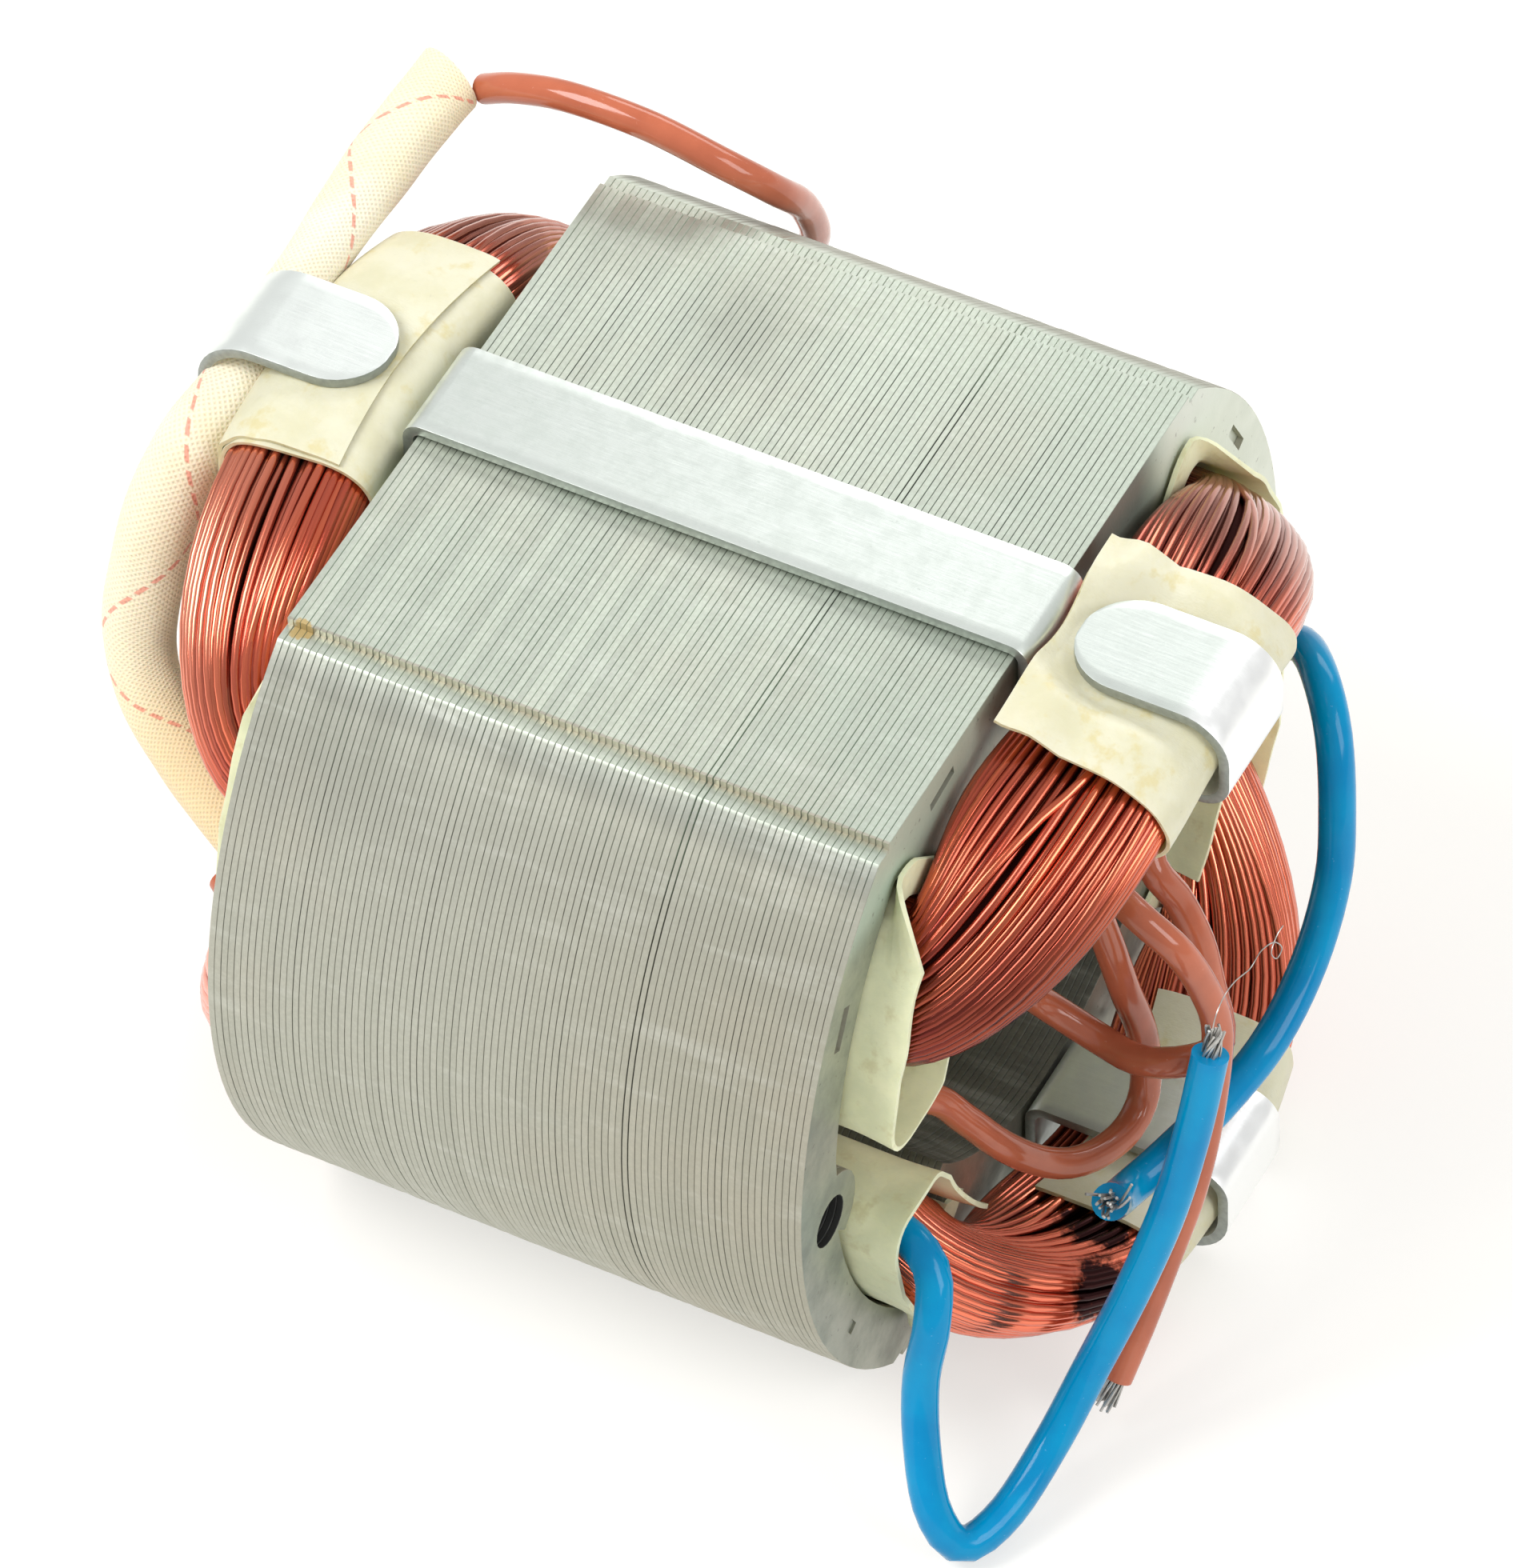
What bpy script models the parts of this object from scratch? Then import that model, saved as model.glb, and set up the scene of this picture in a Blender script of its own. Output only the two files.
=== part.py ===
"""A wound stator of a small two-pole motor, in metres, +Z up, lying on its lower clip.

X runs along the stack, Y across its flats, and the origin is on the surface under the middle of the stack.
"Front" is the +X end, "near" the -Y side. A section point is (y, height above the bore's axis).
"""

from collections import namedtuple
import math

import bmesh
import bpy
from mathutils import Vector

# Lamination stack
STACK_LENGTH = 0.045
LAMINATION = 0.0005
LAMINATIONS_PER_SEAM = 3
SEAM_DEPTH = 0.00012
SEAM_HALF_WIDTH = 0.0001
BORE_RADIUS = 0.0205
POLE_TIP_THICKNESS = 0.0015
POLE_TIP_ANGLE = math.radians(50)
POLE_SIDE_ANGLE = math.radians(42)
POLE_SIDE_LEAN = math.radians(1.5)
SLOT_DEPTH = 0.0090
SLOT_CORNER_ANGLE = math.radians(2)
SLOT_END_HEIGHT = 0.0038
SIDE_YOKE = 0.0050
POLE_YOKE = 0.00376
LEDGE_DROP = 0.0006
LEDGE_WIDTH = 0.0018
SCREW_HOLE_RADIUS = 0.0019
SCREW_HOLE_INSET = 0.0041
SCREW_HOLE_SHIFT = 0.0016
SCREW_BOSS_RADIUS = 0.0037
SCREW_BOSS_ANGLE = math.radians(100)
CLINCH_LENGTH = 0.0034
CLINCH_WIDTH = 0.0009
CLINCH_DEPTH = 0.0006
CLINCH_INSET = 0.0027
CLINCH_ANGLE = math.radians(62)

SLOT_INNER_RADIUS = BORE_RADIUS + POLE_TIP_THICKNESS
SLOT_OUTER_RADIUS = SLOT_INNER_RADIUS + SLOT_DEPTH
STACK_RADIUS = SLOT_OUTER_RADIUS + SIDE_YOKE
FLAT_HEIGHT = SLOT_OUTER_RADIUS * math.cos(POLE_SIDE_ANGLE) + POLE_YOKE
FLAT_HALF_WIDTH = math.sqrt(STACK_RADIUS**2 - (FLAT_HEIGHT - LEDGE_DROP) ** 2) - LEDGE_WIDTH
SCREW_HOLE_OFFSET = STACK_RADIUS - SCREW_HOLE_INSET
CLINCH_RADIUS = STACK_RADIUS - CLINCH_INSET

# Slot liners, each a folded sheet round one side of a coil
CLEARANCE = 0.0003
LINER_THICKNESS = 0.00035
LINER_REACH = 0.0032
LINER_FLARE = 0.0009
LINER_CUFF = 0.0026
LINER_CUFF_ANGLE = math.radians(53)
LINER_CUFF_FADE = math.radians(6)
LINER_CORNER = 0.0012
LINER_COVER_START = math.radians(2.5)
LINER_COVER_END = math.radians(7)
LINER_WALL_START = math.radians(1)
LINER_WALL_END = math.radians(3)
LINER_FOOT_INNER = 0.0018
LINER_FOOT_OUTER = 0.0016
LINER_TUCK = 0.0008

# Coils
COIL_START_ANGLE = math.radians(46)
COIL_END_ANGLE = math.radians(70)
COIL_MARGIN = 0.0007
COIL_STUB = 0.0009
COIL_SQUARENESS = 2.8
COIL_SWELL = 0.26
COIL_RIDGES = 22
COIL_RIDGE_DEPTH = 0.0003

COIL_INNER_RADIUS = SLOT_INNER_RADIUS + CLEARANCE + LINER_THICKNESS + COIL_MARGIN
COIL_OUTER_RADIUS = SLOT_OUTER_RADIUS - CLEARANCE - LINER_THICKNESS - COIL_MARGIN

# How late an end winding rises to its height, and how slim it is on its way to the far slot
UPPER_RISE = 1.8
LOWER_RISE = 1.05
REAR_RISE = 1.3
UPPER_FAR_TAPER = 1.15
LOWER_FAR_TAPER = 1.4
REAR_TAPER = 0.78

# Wraps of film round the middle of each end winding
WRAP_THICKNESS = 0.0003
WRAP_EDGES = (-0.0098, 0.0100)
REAR_WRAP_EDGES = (-0.0090, 0.0118)
WRAP_EDGE_RISE = 0.0004
WRAP_TOP_ANGLE = math.radians(138)
WRAP_FOOT_ANGLE = math.radians(-112)

# End windings, at their middle: reach past the stack, and height above the axis from the bore and the flats
END_INNER_REACH = 0.0021
END_REACH = 0.0142
REAR_REACH = 0.0119
END_ABOVE_BORE = 0.0011
END_BELOW_FLAT = 0.0011
REAR_ABOVE_FLAT = 0.0006

END_BOTTOM = BORE_RADIUS + END_ABOVE_BORE
END_TOP = FLAT_HEIGHT - END_BELOW_FLAT
REAR_TOP = FLAT_HEIGHT + REAR_ABOVE_FLAT
LOWER_TOP = FLAT_HEIGHT - CLEARANCE - WRAP_THICKNESS

# Clips of plated strip
STRIP_WIDTH = 0.0082
STRIP_THICKNESS = 0.0008
TAB_REACH = 0.0130
TAB_BEND = 0.0031
TAB_TIP_ROWS = 5
END_SAG = 0.0006
STRIP_BEND = 0.0011

# Leads and sleeve
BROWN_DIAMETER = 0.0022
BLUE_DIAMETER = 0.0026
SLEEVE_DIAMETER = 0.0041
SLEEVE_PINCH = 0.76
SLEEVE_PINCH_REACH = 0.005
SLEEVE_PITCH = 1.2
LEAD_PITCH = 2.8
STRAND_LENGTH = 0.0028
STRAND_BUNDLE_RADIUS = 0.00075
STRAND_LOBES = 7

AXIS_HEIGHT = FLAT_HEIGHT + CLEARANCE + STRIP_THICKNESS
HALF_STACK = STACK_LENGTH / 2

# Rounding of bent outlines: turns below this stay sharp, and a corner takes at most this share of its sides
GENTLE_TURN = math.radians(25)
CORNER_SHARE = 0.45

COLLECTION = "wound_stator"

EndWinding = namedtuple("EndWinding", "inner outer bottom top rise near_taper far_taper")

UPPER_FRONT = EndWinding(END_INNER_REACH, END_REACH, END_BOTTOM, END_TOP, UPPER_RISE, 1.0, UPPER_FAR_TAPER)
UPPER_REAR = EndWinding(END_INNER_REACH, REAR_REACH, END_BOTTOM, REAR_TOP, REAR_RISE, REAR_TAPER, REAR_TAPER)
LOWER_END = EndWinding(END_INNER_REACH, END_REACH, END_BOTTOM, LOWER_TOP, LOWER_RISE, 1.0, LOWER_FAR_TAPER)


def start_clean():
    for obj in list(bpy.data.objects):
        bpy.data.objects.remove(obj, do_unlink=True)
    for name in (COLLECTION, "cutters"):
        bpy.context.scene.collection.children.link(bpy.data.collections.new(name))


def material(name, colour, roughness, metallic=0.0):
    made = bpy.data.materials.new(name)
    made.use_nodes = True
    shader = made.node_tree.nodes["Principled BSDF"]
    shader.inputs["Base Color"].default_value = (*colour, 1.0)
    shader.inputs["Roughness"].default_value = roughness
    shader.inputs["Metallic"].default_value = metallic
    return made


def add_object(name, data, finish, group=COLLECTION):
    obj = bpy.data.objects.new(name, data)
    bpy.data.collections[group].objects.link(obj)
    data.materials.append(finish)
    return obj


def add_mesh(name, finish, points, faces, smooth=True):
    mesh = bpy.data.meshes.new(name)
    mesh.from_pydata([tuple(point) for point in points], [], faces)
    if smooth:
        mesh.shade_smooth()
        mesh.set_sharp_from_angle(angle=math.radians(35))
    return add_object(name, mesh, finish)


def grid(rows):
    """The points and faces of a sheet through rows of equally many points."""
    count = len(rows[0])
    faces = []
    for low in range(0, (len(rows) - 1) * count, count):
        for i in range(low, low + count - 1):
            faces.append((i, i + 1, i + count + 1, i + count))
    return [point for row in rows for point in row], faces


def polar(radius, angle):
    """The section point at an angle from straight up, on the far side."""
    return (radius * math.sin(angle), radius * math.cos(angle))


def arc(radius, first, last, steps):
    return [polar(radius, first + (last - first) * i / steps) for i in range(steps + 1)]


def rounded(points, radius, steps=3):
    """An open outline with each inner corner replaced by a short curve."""
    made = [points[0]]
    for before, corner, after in zip(points, points[1:], points[2:]):
        here = Vector(corner)
        back = Vector(before) - here
        ahead = Vector(after) - here
        if back.angle(-ahead) < GENTLE_TURN:
            made.append(corner)
            continue
        cut = min(radius, back.length * CORNER_SHARE, ahead.length * CORNER_SHARE)
        start = here + back.normalized() * cut
        end = here + ahead.normalized() * cut
        for i in range(steps + 1):
            t = i / steps
            made.append(tuple(start * (1 - t) ** 2 + here * 2 * t * (1 - t) + end * t * t))
    return made + [points[-1]]


def evenly(points, count):
    """The same line read again at a number of even steps."""
    total = sum((b - a).length for a, b in zip(points, points[1:]))
    step = total / count
    made = [points[0]]
    travelled = 0.0
    for a, b in zip(points, points[1:]):
        length = (b - a).length
        while length and travelled + length >= step * len(made) and len(made) < count:
            made.append(a.lerp(b, (step * len(made) - travelled) / length))
        travelled += length
    return made + [points[-1]]


# Lamination stack


def outer_outline(inset=0.0):
    """The outside of a lamination: two flats with a ledge along each edge, and two round sides."""
    radius = STACK_RADIUS - inset
    ledge = FLAT_HEIGHT - LEDGE_DROP - inset
    corner = math.acos(ledge / radius)
    quarter = [
        (0.0, FLAT_HEIGHT - inset),
        (FLAT_HALF_WIDTH - inset, FLAT_HEIGHT - inset),
        (FLAT_HALF_WIDTH - inset, ledge),
    ] + arc(radius, corner, math.pi / 2, 4)
    right = quarter + [(y, -z) for y, z in reversed(quarter[:-1])]
    return right + [(-y, z) for y, z in reversed(right[1:-1])]


def boss_arc(steps=6):
    """The inner side of the near screw boss, from the upper slot's wall to the lower one's."""
    centre = Vector((-SCREW_HOLE_OFFSET, -SCREW_HOLE_SHIFT))
    points = []
    for i in range(steps + 1):
        turn = SCREW_BOSS_ANGLE * (1 - 2 * i / steps)
        points.append(centre + SCREW_BOSS_RADIUS * Vector((math.cos(turn), math.sin(turn))))
    return [tuple(point) for point in points if point.length < SLOT_OUTER_RADIUS]


def slot_outline():
    """The near upper slot, from the pole tip round to the wall above the screw boss."""
    last = math.acos(SLOT_END_HEIGHT / SLOT_OUTER_RADIUS)
    side = [
        polar(BORE_RADIUS, POLE_TIP_ANGLE),
        polar(SLOT_INNER_RADIUS, POLE_TIP_ANGLE),
        polar(SLOT_INNER_RADIUS, POLE_SIDE_ANGLE + POLE_SIDE_LEAN),
        polar(SLOT_OUTER_RADIUS - LINER_CORNER, POLE_SIDE_ANGLE),
    ]
    wall = arc(SLOT_OUTER_RADIUS, POLE_SIDE_ANGLE + SLOT_CORNER_ANGLE, last, 6)
    return [(-y, z) for y, z in side + wall]


def bore_outline():
    """The inside of a lamination: two pole faces, four slots and two screw bosses, as one loop."""
    pole = arc(BORE_RADIUS, POLE_TIP_ANGLE, -POLE_TIP_ANGLE, 14)
    upper = slot_outline()
    lower = [(y, -z) for y, z in reversed(upper)]
    near = pole[:-1] + upper + boss_arc() + lower
    far = [(-y, -z) for y, z in near]
    return near + far


def disc_outline(centre, radius, steps=12):
    turns = [2 * math.pi * i / steps for i in range(steps)]
    return [(centre[0] + radius * math.cos(t), centre[1] + radius * math.sin(t)) for t in turns]


def flat_prism(name, outlines, half_length, finish, group):
    """A prism along X between outlines: the first is the outside, the rest are holes."""
    curve = bpy.data.curves.new(name, "CURVE")
    curve.dimensions = "2D"
    curve.fill_mode = "BOTH"
    curve.extrude = half_length
    for outline in outlines:
        spline = curve.splines.new("POLY")
        spline.points.add(len(outline) - 1)
        for point, (y, z) in zip(spline.points, outline):
            point.co = (y, z, 0.0, 1.0)
        spline.use_cyclic_u = True
    obj = add_object(name, curve, finish, group)
    obj.rotation_euler = (math.pi / 2, 0.0, math.pi / 2)
    obj.location = (0.0, 0.0, AXIS_HEIGHT)
    return obj


def as_mesh(obj):
    """Replaces a curve by its mesh, with the loose caps welded."""
    bpy.context.view_layer.update()
    graph = bpy.context.evaluated_depsgraph_get()
    mesh = bpy.data.meshes.new_from_object(obj.evaluated_get(graph))
    shaped = bmesh.new()
    shaped.from_mesh(mesh)
    bmesh.ops.remove_doubles(shaped, verts=shaped.verts, dist=1e-6)
    bmesh.ops.recalc_face_normals(shaped, faces=shaped.faces)
    shaped.to_mesh(mesh)
    shaped.free()
    group = obj.users_collection[0]
    name = obj.name
    made = bpy.data.objects.new(f"{name}_mesh", mesh)
    made.matrix_world = obj.matrix_world.copy()
    group.objects.link(made)
    bpy.data.objects.remove(obj, do_unlink=True)
    made.name = name
    return made


def seam_places():
    """X of each seam between groups of laminations, counted from the middle."""
    pitch = LAMINATION * LAMINATIONS_PER_SEAM
    half_count = int(HALF_STACK / pitch - 0.5)
    return [pitch * i for i in range(-half_count, half_count + 1)]


def stack_skin(finish):
    """The seamed outside of the stack: rings of its outline, drawn in a little at each seam."""
    rings = [(-HALF_STACK, 0.0)]
    for place in seam_places():
        rings.append((place - SEAM_HALF_WIDTH, 0.0))
        rings.append((place, SEAM_DEPTH))
        rings.append((place + SEAM_HALF_WIDTH, 0.0))
    rings.append((HALF_STACK, 0.0))
    points = []
    for x, inset in rings:
        points += [(x, y, z + AXIS_HEIGHT) for y, z in outer_outline(inset)]
    count = len(outer_outline())
    faces = []
    for ring in range(len(rings) - 1):
        for i in range(count):
            j = (i + 1) % count
            low = ring * count
            faces.append((low + i, low + j, low + count + j, low + count + i))
    faces.append(tuple(reversed(range(count))))
    faces.append(tuple(range((len(rings) - 1) * count, len(rings) * count)))
    stack = add_mesh("lamination_stack", finish, points, faces, smooth=False)
    shaped = bmesh.new()
    shaped.from_mesh(stack.data)
    bmesh.ops.recalc_face_normals(shaped, faces=shaped.faces)
    shaped.to_mesh(stack.data)
    shaped.free()
    return stack


def cut(obj, cutter):
    cutter.hide_render = True
    cutter.display_type = "WIRE"
    modifier = obj.modifiers.new("cut " + cutter.name, "BOOLEAN")
    modifier.operation = "DIFFERENCE"
    modifier.object = cutter


def clinch_cutter(name, side, level, front):
    """A shallow pocket where the laminations are clinched, along the round side."""
    bpy.ops.mesh.primitive_cube_add(size=1.0)
    cutter = bpy.context.active_object
    cutter.name = name
    for group in list(cutter.users_collection):
        group.objects.unlink(cutter)
    bpy.data.collections["cutters"].objects.link(cutter)
    y, z = polar(CLINCH_RADIUS, CLINCH_ANGLE)
    cutter.scale = (2 * CLINCH_DEPTH, CLINCH_WIDTH, CLINCH_LENGTH)
    cutter.location = (front * HALF_STACK, side * y, AXIS_HEIGHT + level * z)
    cutter.rotation_euler = (side * level * (math.pi / 2 - CLINCH_ANGLE), 0.0, 0.0)


def build_stack(finish):
    stack = stack_skin(finish)
    reach = STACK_LENGTH
    bore = as_mesh(flat_prism("bore_cutter", [bore_outline()], reach, finish, "cutters"))
    cut(stack, bore)
    for side in (-1, 1):
        centre = (side * SCREW_HOLE_OFFSET, side * SCREW_HOLE_SHIFT)
        outline = disc_outline(centre, SCREW_HOLE_RADIUS)
        name = "near_screw_cutter" if side < 0 else "far_screw_cutter"
        cut(stack, as_mesh(flat_prism(name, [outline], reach, finish, "cutters")))
    for side in (-1, 1):
        for level in (-1, 1):
            for front in (-1, 1):
                name = f"clinch_cutter_{side}_{level}_{front}".replace("-1", "0")
                clinch_cutter(name, side, level, front)
                cut(stack, bpy.data.objects[name])


# Slot liners


def liner_outline():
    """The middle of the sheet round the far upper slot, open at the pole's side."""
    half = LINER_THICKNESS / 2
    inner = SLOT_INNER_RADIUS + CLEARANCE + half
    outer = SLOT_OUTER_RADIUS - CLEARANCE - half
    floor = SLOT_END_HEIGHT + CLEARANCE + half
    side = POLE_SIDE_ANGLE + POLE_SIDE_LEAN + (CLEARANCE + half) / inner
    inner_end = math.acos(floor / inner) - LINER_COVER_END
    outer_end = math.acos(floor / outer) - LINER_WALL_END
    cover = arc(inner, side + LINER_COVER_START, inner_end, 4)
    foot_end = math.sqrt(outer**2 - floor**2) - LINER_FOOT_OUTER
    foot = [(cover[-1][0] + LINER_FOOT_INNER, floor), (foot_end, floor)]
    wall = arc(outer, outer_end, side + LINER_WALL_START, 5)
    return rounded(cover + foot + wall + [polar(inner + LINER_TUCK, side)], LINER_CORNER, 2)


def cuff_share(y, z):
    """1 where the liner's mouth is folded back over the pole's end face, 0 where it stands straight out."""
    if math.hypot(y, z) < SLOT_INNER_RADIUS + 2 * CLEARANCE + LINER_THICKNESS:
        return 0.0
    return min(max((LINER_CUFF_ANGLE - math.atan2(y, z)) / LINER_CUFF_FADE, 0.0), 1.0)


def build_liner(name, side, level, finish):
    middle = Vector(slot_place(0.5, 0.5))
    fold_line = HALF_STACK + CLEARANCE + LINER_THICKNESS / 2
    mouth = []
    slot = []
    for y, z in liner_outline():
        cuff = cuff_share(y, z)
        away = (Vector((y, z)) - middle).normalized() * (LINER_FLARE + (LINER_CUFF - LINER_FLARE) * cuff)
        mouth.append((fold_line + LINER_REACH * (1 - cuff), y + away.x, z + away.y))
        slot.append((fold_line, y, z))
    stations = [[(-x, y, z) for x, y, z in mouth], [(-x, y, z) for x, y, z in slot], slot, mouth]
    rows = [[(x, side * y, AXIS_HEIGHT + level * z) for x, y, z in station] for station in stations]
    liner = add_mesh(name, finish, *grid(rows))
    sheet = liner.modifiers.new("sheet", "SOLIDIFY")
    sheet.thickness = LINER_THICKNESS
    sheet.offset = 0.0


# Coils


def end_of(level, front):
    """One end winding. The lower clip's tabs lie level with its strap, so that the stator rests on all three."""
    if level < 0:
        return LOWER_END
    return UPPER_FRONT if front > 0 else UPPER_REAR


def slot_place(along, across):
    """Where a turn that lies at (along, across) in the coil's section runs in the far upper slot."""
    angle = COIL_START_ANGLE + (COIL_END_ANGLE - COIL_START_ANGLE) * along
    return polar(COIL_INNER_RADIUS + (COIL_OUTER_RADIUS - COIL_INNER_RADIUS) * across, angle)


def turn_point(level, front, along, across, sweep, grow=0.0):
    """A point of the turn that lies at (along, across) in the coil's section, each from 0 to 1.

    The sweep runs from -90 degrees at the near slot to 90 at the far one, and grow moves the turn outwards
    from the section's middle, to place what is wrapped round the coil.
    """
    end = end_of(level, front)
    depth = end.outer - end.inner
    rise = end.top - end.bottom
    swell = 1 + COIL_SWELL * math.sin(2 * sweep) ** 2
    out = Vector((along - 0.5, across - 0.5))
    along = 0.5 + out.x * swell
    if out.y > 0:
        across = 0.5 + out.y * swell
    push = section_normal(out, depth, rise) * grow
    reach = HALF_STACK + end.inner + depth * along + push.x
    height = end.bottom + rise * across + push.y
    side_y, side_z = slot_place(along, across)
    start = HALF_STACK + COIL_STUB
    turned = max(math.cos(sweep), 0.0)
    x = start + (reach - start) * turned ** (end.near_taper if sweep < 0 else end.far_taper)
    y = side_y * math.sin(sweep)
    z = side_z + (height - side_z) * turned**end.rise
    return (front * x, y, AXIS_HEIGHT + level * z)


def section_normal(out, depth, rise):
    """The way out of the section's surface, at a point counted from its middle."""
    slopes = []
    for value, size in ((out.x, depth), (out.y, rise)):
        slopes.append(math.copysign(abs(2 * value) ** (COIL_SQUARENESS - 1) / size, value))
    return Vector(slopes).normalized()


def section_point(turn):
    """A point of the coil's section, at an angle counted from its outer side, as (along, across)."""
    shares = []
    for value in (math.cos(turn), math.sin(turn)):
        shares.append(0.5 + 0.5 * math.copysign(abs(value) ** (2 / COIL_SQUARENESS), value))
    return tuple(shares)


def coil_section():
    """Points at even steps round the section, drawn in between the ridges of turns."""
    size = Vector((END_REACH - END_INNER_REACH, END_TOP - END_BOTTOM))
    outline = [Vector(section_point(math.radians(turn))) * size for turn in range(0, 361, 2)]
    points = evenly(outline, 2 * COIL_RIDGES)[:-1]
    return [(p.x / size.x, p.y / size.y, -COIL_RIDGE_DEPTH * (i % 2)) for i, p in enumerate(points)]


def coil_sweeps(steps=12):
    return [math.radians(-90 + 180 * i / steps) for i in range(steps + 1)]


def build_coil(name, level, finish):
    section = coil_section()
    rings = []
    for front in (1, -1):
        sweeps = coil_sweeps()
        for sweep in sweeps if front > 0 else reversed(sweeps):
            rings.append([turn_point(level, front, a, c, sweep, g) for a, c, g in section])
    points = [point for ring in rings for point in ring]
    count = len(section)
    faces = []
    for ring in range(len(rings)):
        after = (ring + 1) % len(rings)
        for i in range(count):
            j = (i + 1) % count
            face = (ring * count + i, ring * count + j, after * count + j, after * count + i)
            faces.append(face if level < 0 else tuple(reversed(face)))
    add_mesh(name, finish, points, faces)


# Wraps


def wrap_row(level, front, place, steps=15):
    """The section of a film round an end winding, at one place along Y.

    Its free edge stands up beside the end of the strap, and its foot is under the winding next to the stack.
    """
    grow = CLEARANCE + WRAP_THICKNESS / 2
    row = []
    for i in range(steps + 1):
        turn = WRAP_TOP_ANGLE + (WRAP_FOOT_ANGLE - WRAP_TOP_ANGLE) * i / steps
        along, across = section_point(turn)
        sweep = math.asin(place / slot_place(along, across)[0])
        row.append(turn_point(level, front, along, across, sweep, grow))
    edge_x = HALF_STACK + STRIP_THICKNESS + 2 * CLEARANCE + WRAP_THICKNESS / 2
    edge_height = AXIS_HEIGHT + WRAP_EDGE_RISE if level > 0 else FLAT_HEIGHT
    return [(front * edge_x, row[0][1], AXIS_HEIGHT + level * edge_height)] + row


def build_wrap(name, level, front, finish, steps=4):
    near, far = REAR_WRAP_EDGES if level > 0 and front < 0 else WRAP_EDGES
    rows = [wrap_row(level, front, near + (far - near) * i / steps) for i in range(steps + 1)]
    wrap = add_mesh(name, finish, *grid(rows))
    film = wrap.modifiers.new("film", "SOLIDIFY")
    film.thickness = WRAP_THICKNESS
    film.offset = 0.0


# Clips


def strip_half(level, front):
    """Half a clip's strip, from the middle of the strap to the tip of one tab.

    Each row is the x and height of the strip's middle line and the share of the full width there.
    """
    end = end_of(level, front)
    half = STRIP_THICKNESS / 2
    film = 2 * CLEARANCE + WRAP_THICKNESS
    strap = FLAT_HEIGHT + CLEARANCE + half
    neck = HALF_STACK + CLEARANCE + half
    under = end.bottom - END_SAG - film - half
    over = end.top + film + half
    nose = HALF_STACK + end.outer + film + half
    if level > 0 and front < 0:
        nose += SLEEVE_DIAMETER * SLEEVE_PINCH + CLEARANCE
    shoulder = nose - TAB_BEND
    tip = nose + half - TAB_REACH
    line = rounded([(0.0, strap), (neck, strap), (neck, under), (shoulder, under)], STRIP_BEND, 3)
    curl = rounded([(shoulder, under), (nose, under), (nose, over), (tip, over)], TAB_BEND, 4)
    rows = [(x, z, 1.0) for x, z in line + curl[1:-1]]
    for i in range(TAB_TIP_ROWS):
        turn = math.pi / 2 * i / TAB_TIP_ROWS
        rows.append((tip + STRIP_WIDTH / 2 * (1 - math.sin(turn)), over, math.cos(turn)))
    return rows


def build_clip(name, level, finish):
    rear = [(-x, z, share) for x, z, share in reversed(strip_half(level, -1))]
    columns = (-1.0, 1.0)
    rows = []
    for x, z, share in rear + strip_half(level, 1)[1:]:
        height = AXIS_HEIGHT + level * z
        rows.append([(x, column * share * STRIP_WIDTH / 2, height) for column in columns])
    clip = add_mesh(name, finish, *grid(rows))
    strip = clip.modifiers.new("strip", "SOLIDIFY")
    strip.thickness = STRIP_THICKNESS
    strip.offset = 0.0


# Leads and sleeve


def smooth_route(route, steps=12):
    """A smooth curve through a route's points, read at short steps."""
    places = [Vector(point) for point in route]
    places = [places[0] * 2 - places[1]] + places + [places[-1] * 2 - places[-2]]
    made = []
    for a, b, c, d in zip(places, places[1:], places[2:], places[3:]):
        for i in range(steps):
            t = i / steps
            made.append(
                0.5
                * (
                    2 * b
                    + (c - a) * t
                    + (2 * a - 5 * b + 4 * c - d) * t**2
                    + (3 * b - a - 3 * c + d) * t**3
                )
            )
    return made + [places[-2]]


def cord_line(route, diameter, pitch=LEAD_PITCH):
    smooth = smooth_route([(x, y, z + AXIS_HEIGHT) for x, y, z in route])
    length = sum((b - a).length for a, b in zip(smooth, smooth[1:]))
    return evenly(smooth, round(length / (diameter * pitch)))


def build_cord(name, line, diameter, finish):
    curve = bpy.data.curves.new(name, "CURVE")
    curve.dimensions = "3D"
    curve.bevel_depth = diameter / 2
    curve.bevel_resolution = 2
    curve.use_fill_caps = True
    spline = curve.splines.new("POLY")
    spline.points.add(len(line) - 1)
    for point, place in zip(spline.points, line):
        point.co = (*place, 1.0)
    return add_object(name, curve, finish)


def pinch_sleeve(sleeve):
    """Narrows the sleeve where the tab of the upper clip holds it down."""
    for point in sleeve.data.splines[0].points:
        away = max(abs(point.co.y) - STRIP_WIDTH / 2, 0.0)
        point.radius = SLEEVE_PINCH + (1 - SLEEVE_PINCH) * min(away / SLEEVE_PINCH_REACH, 1.0)


def strand_outline():
    """A bundle of bare strands seen end on, as lobes round a circle."""
    points = []
    count = STRAND_LOBES * 2
    for i in range(count):
        turn = 2 * math.pi * i / count
        lobe = 0.85 + 0.15 * abs(math.cos(STRAND_LOBES * turn / 2))
        radius = STRAND_BUNDLE_RADIUS * lobe
        points.append((radius * math.cos(turn), radius * math.sin(turn)))
    return points


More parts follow.
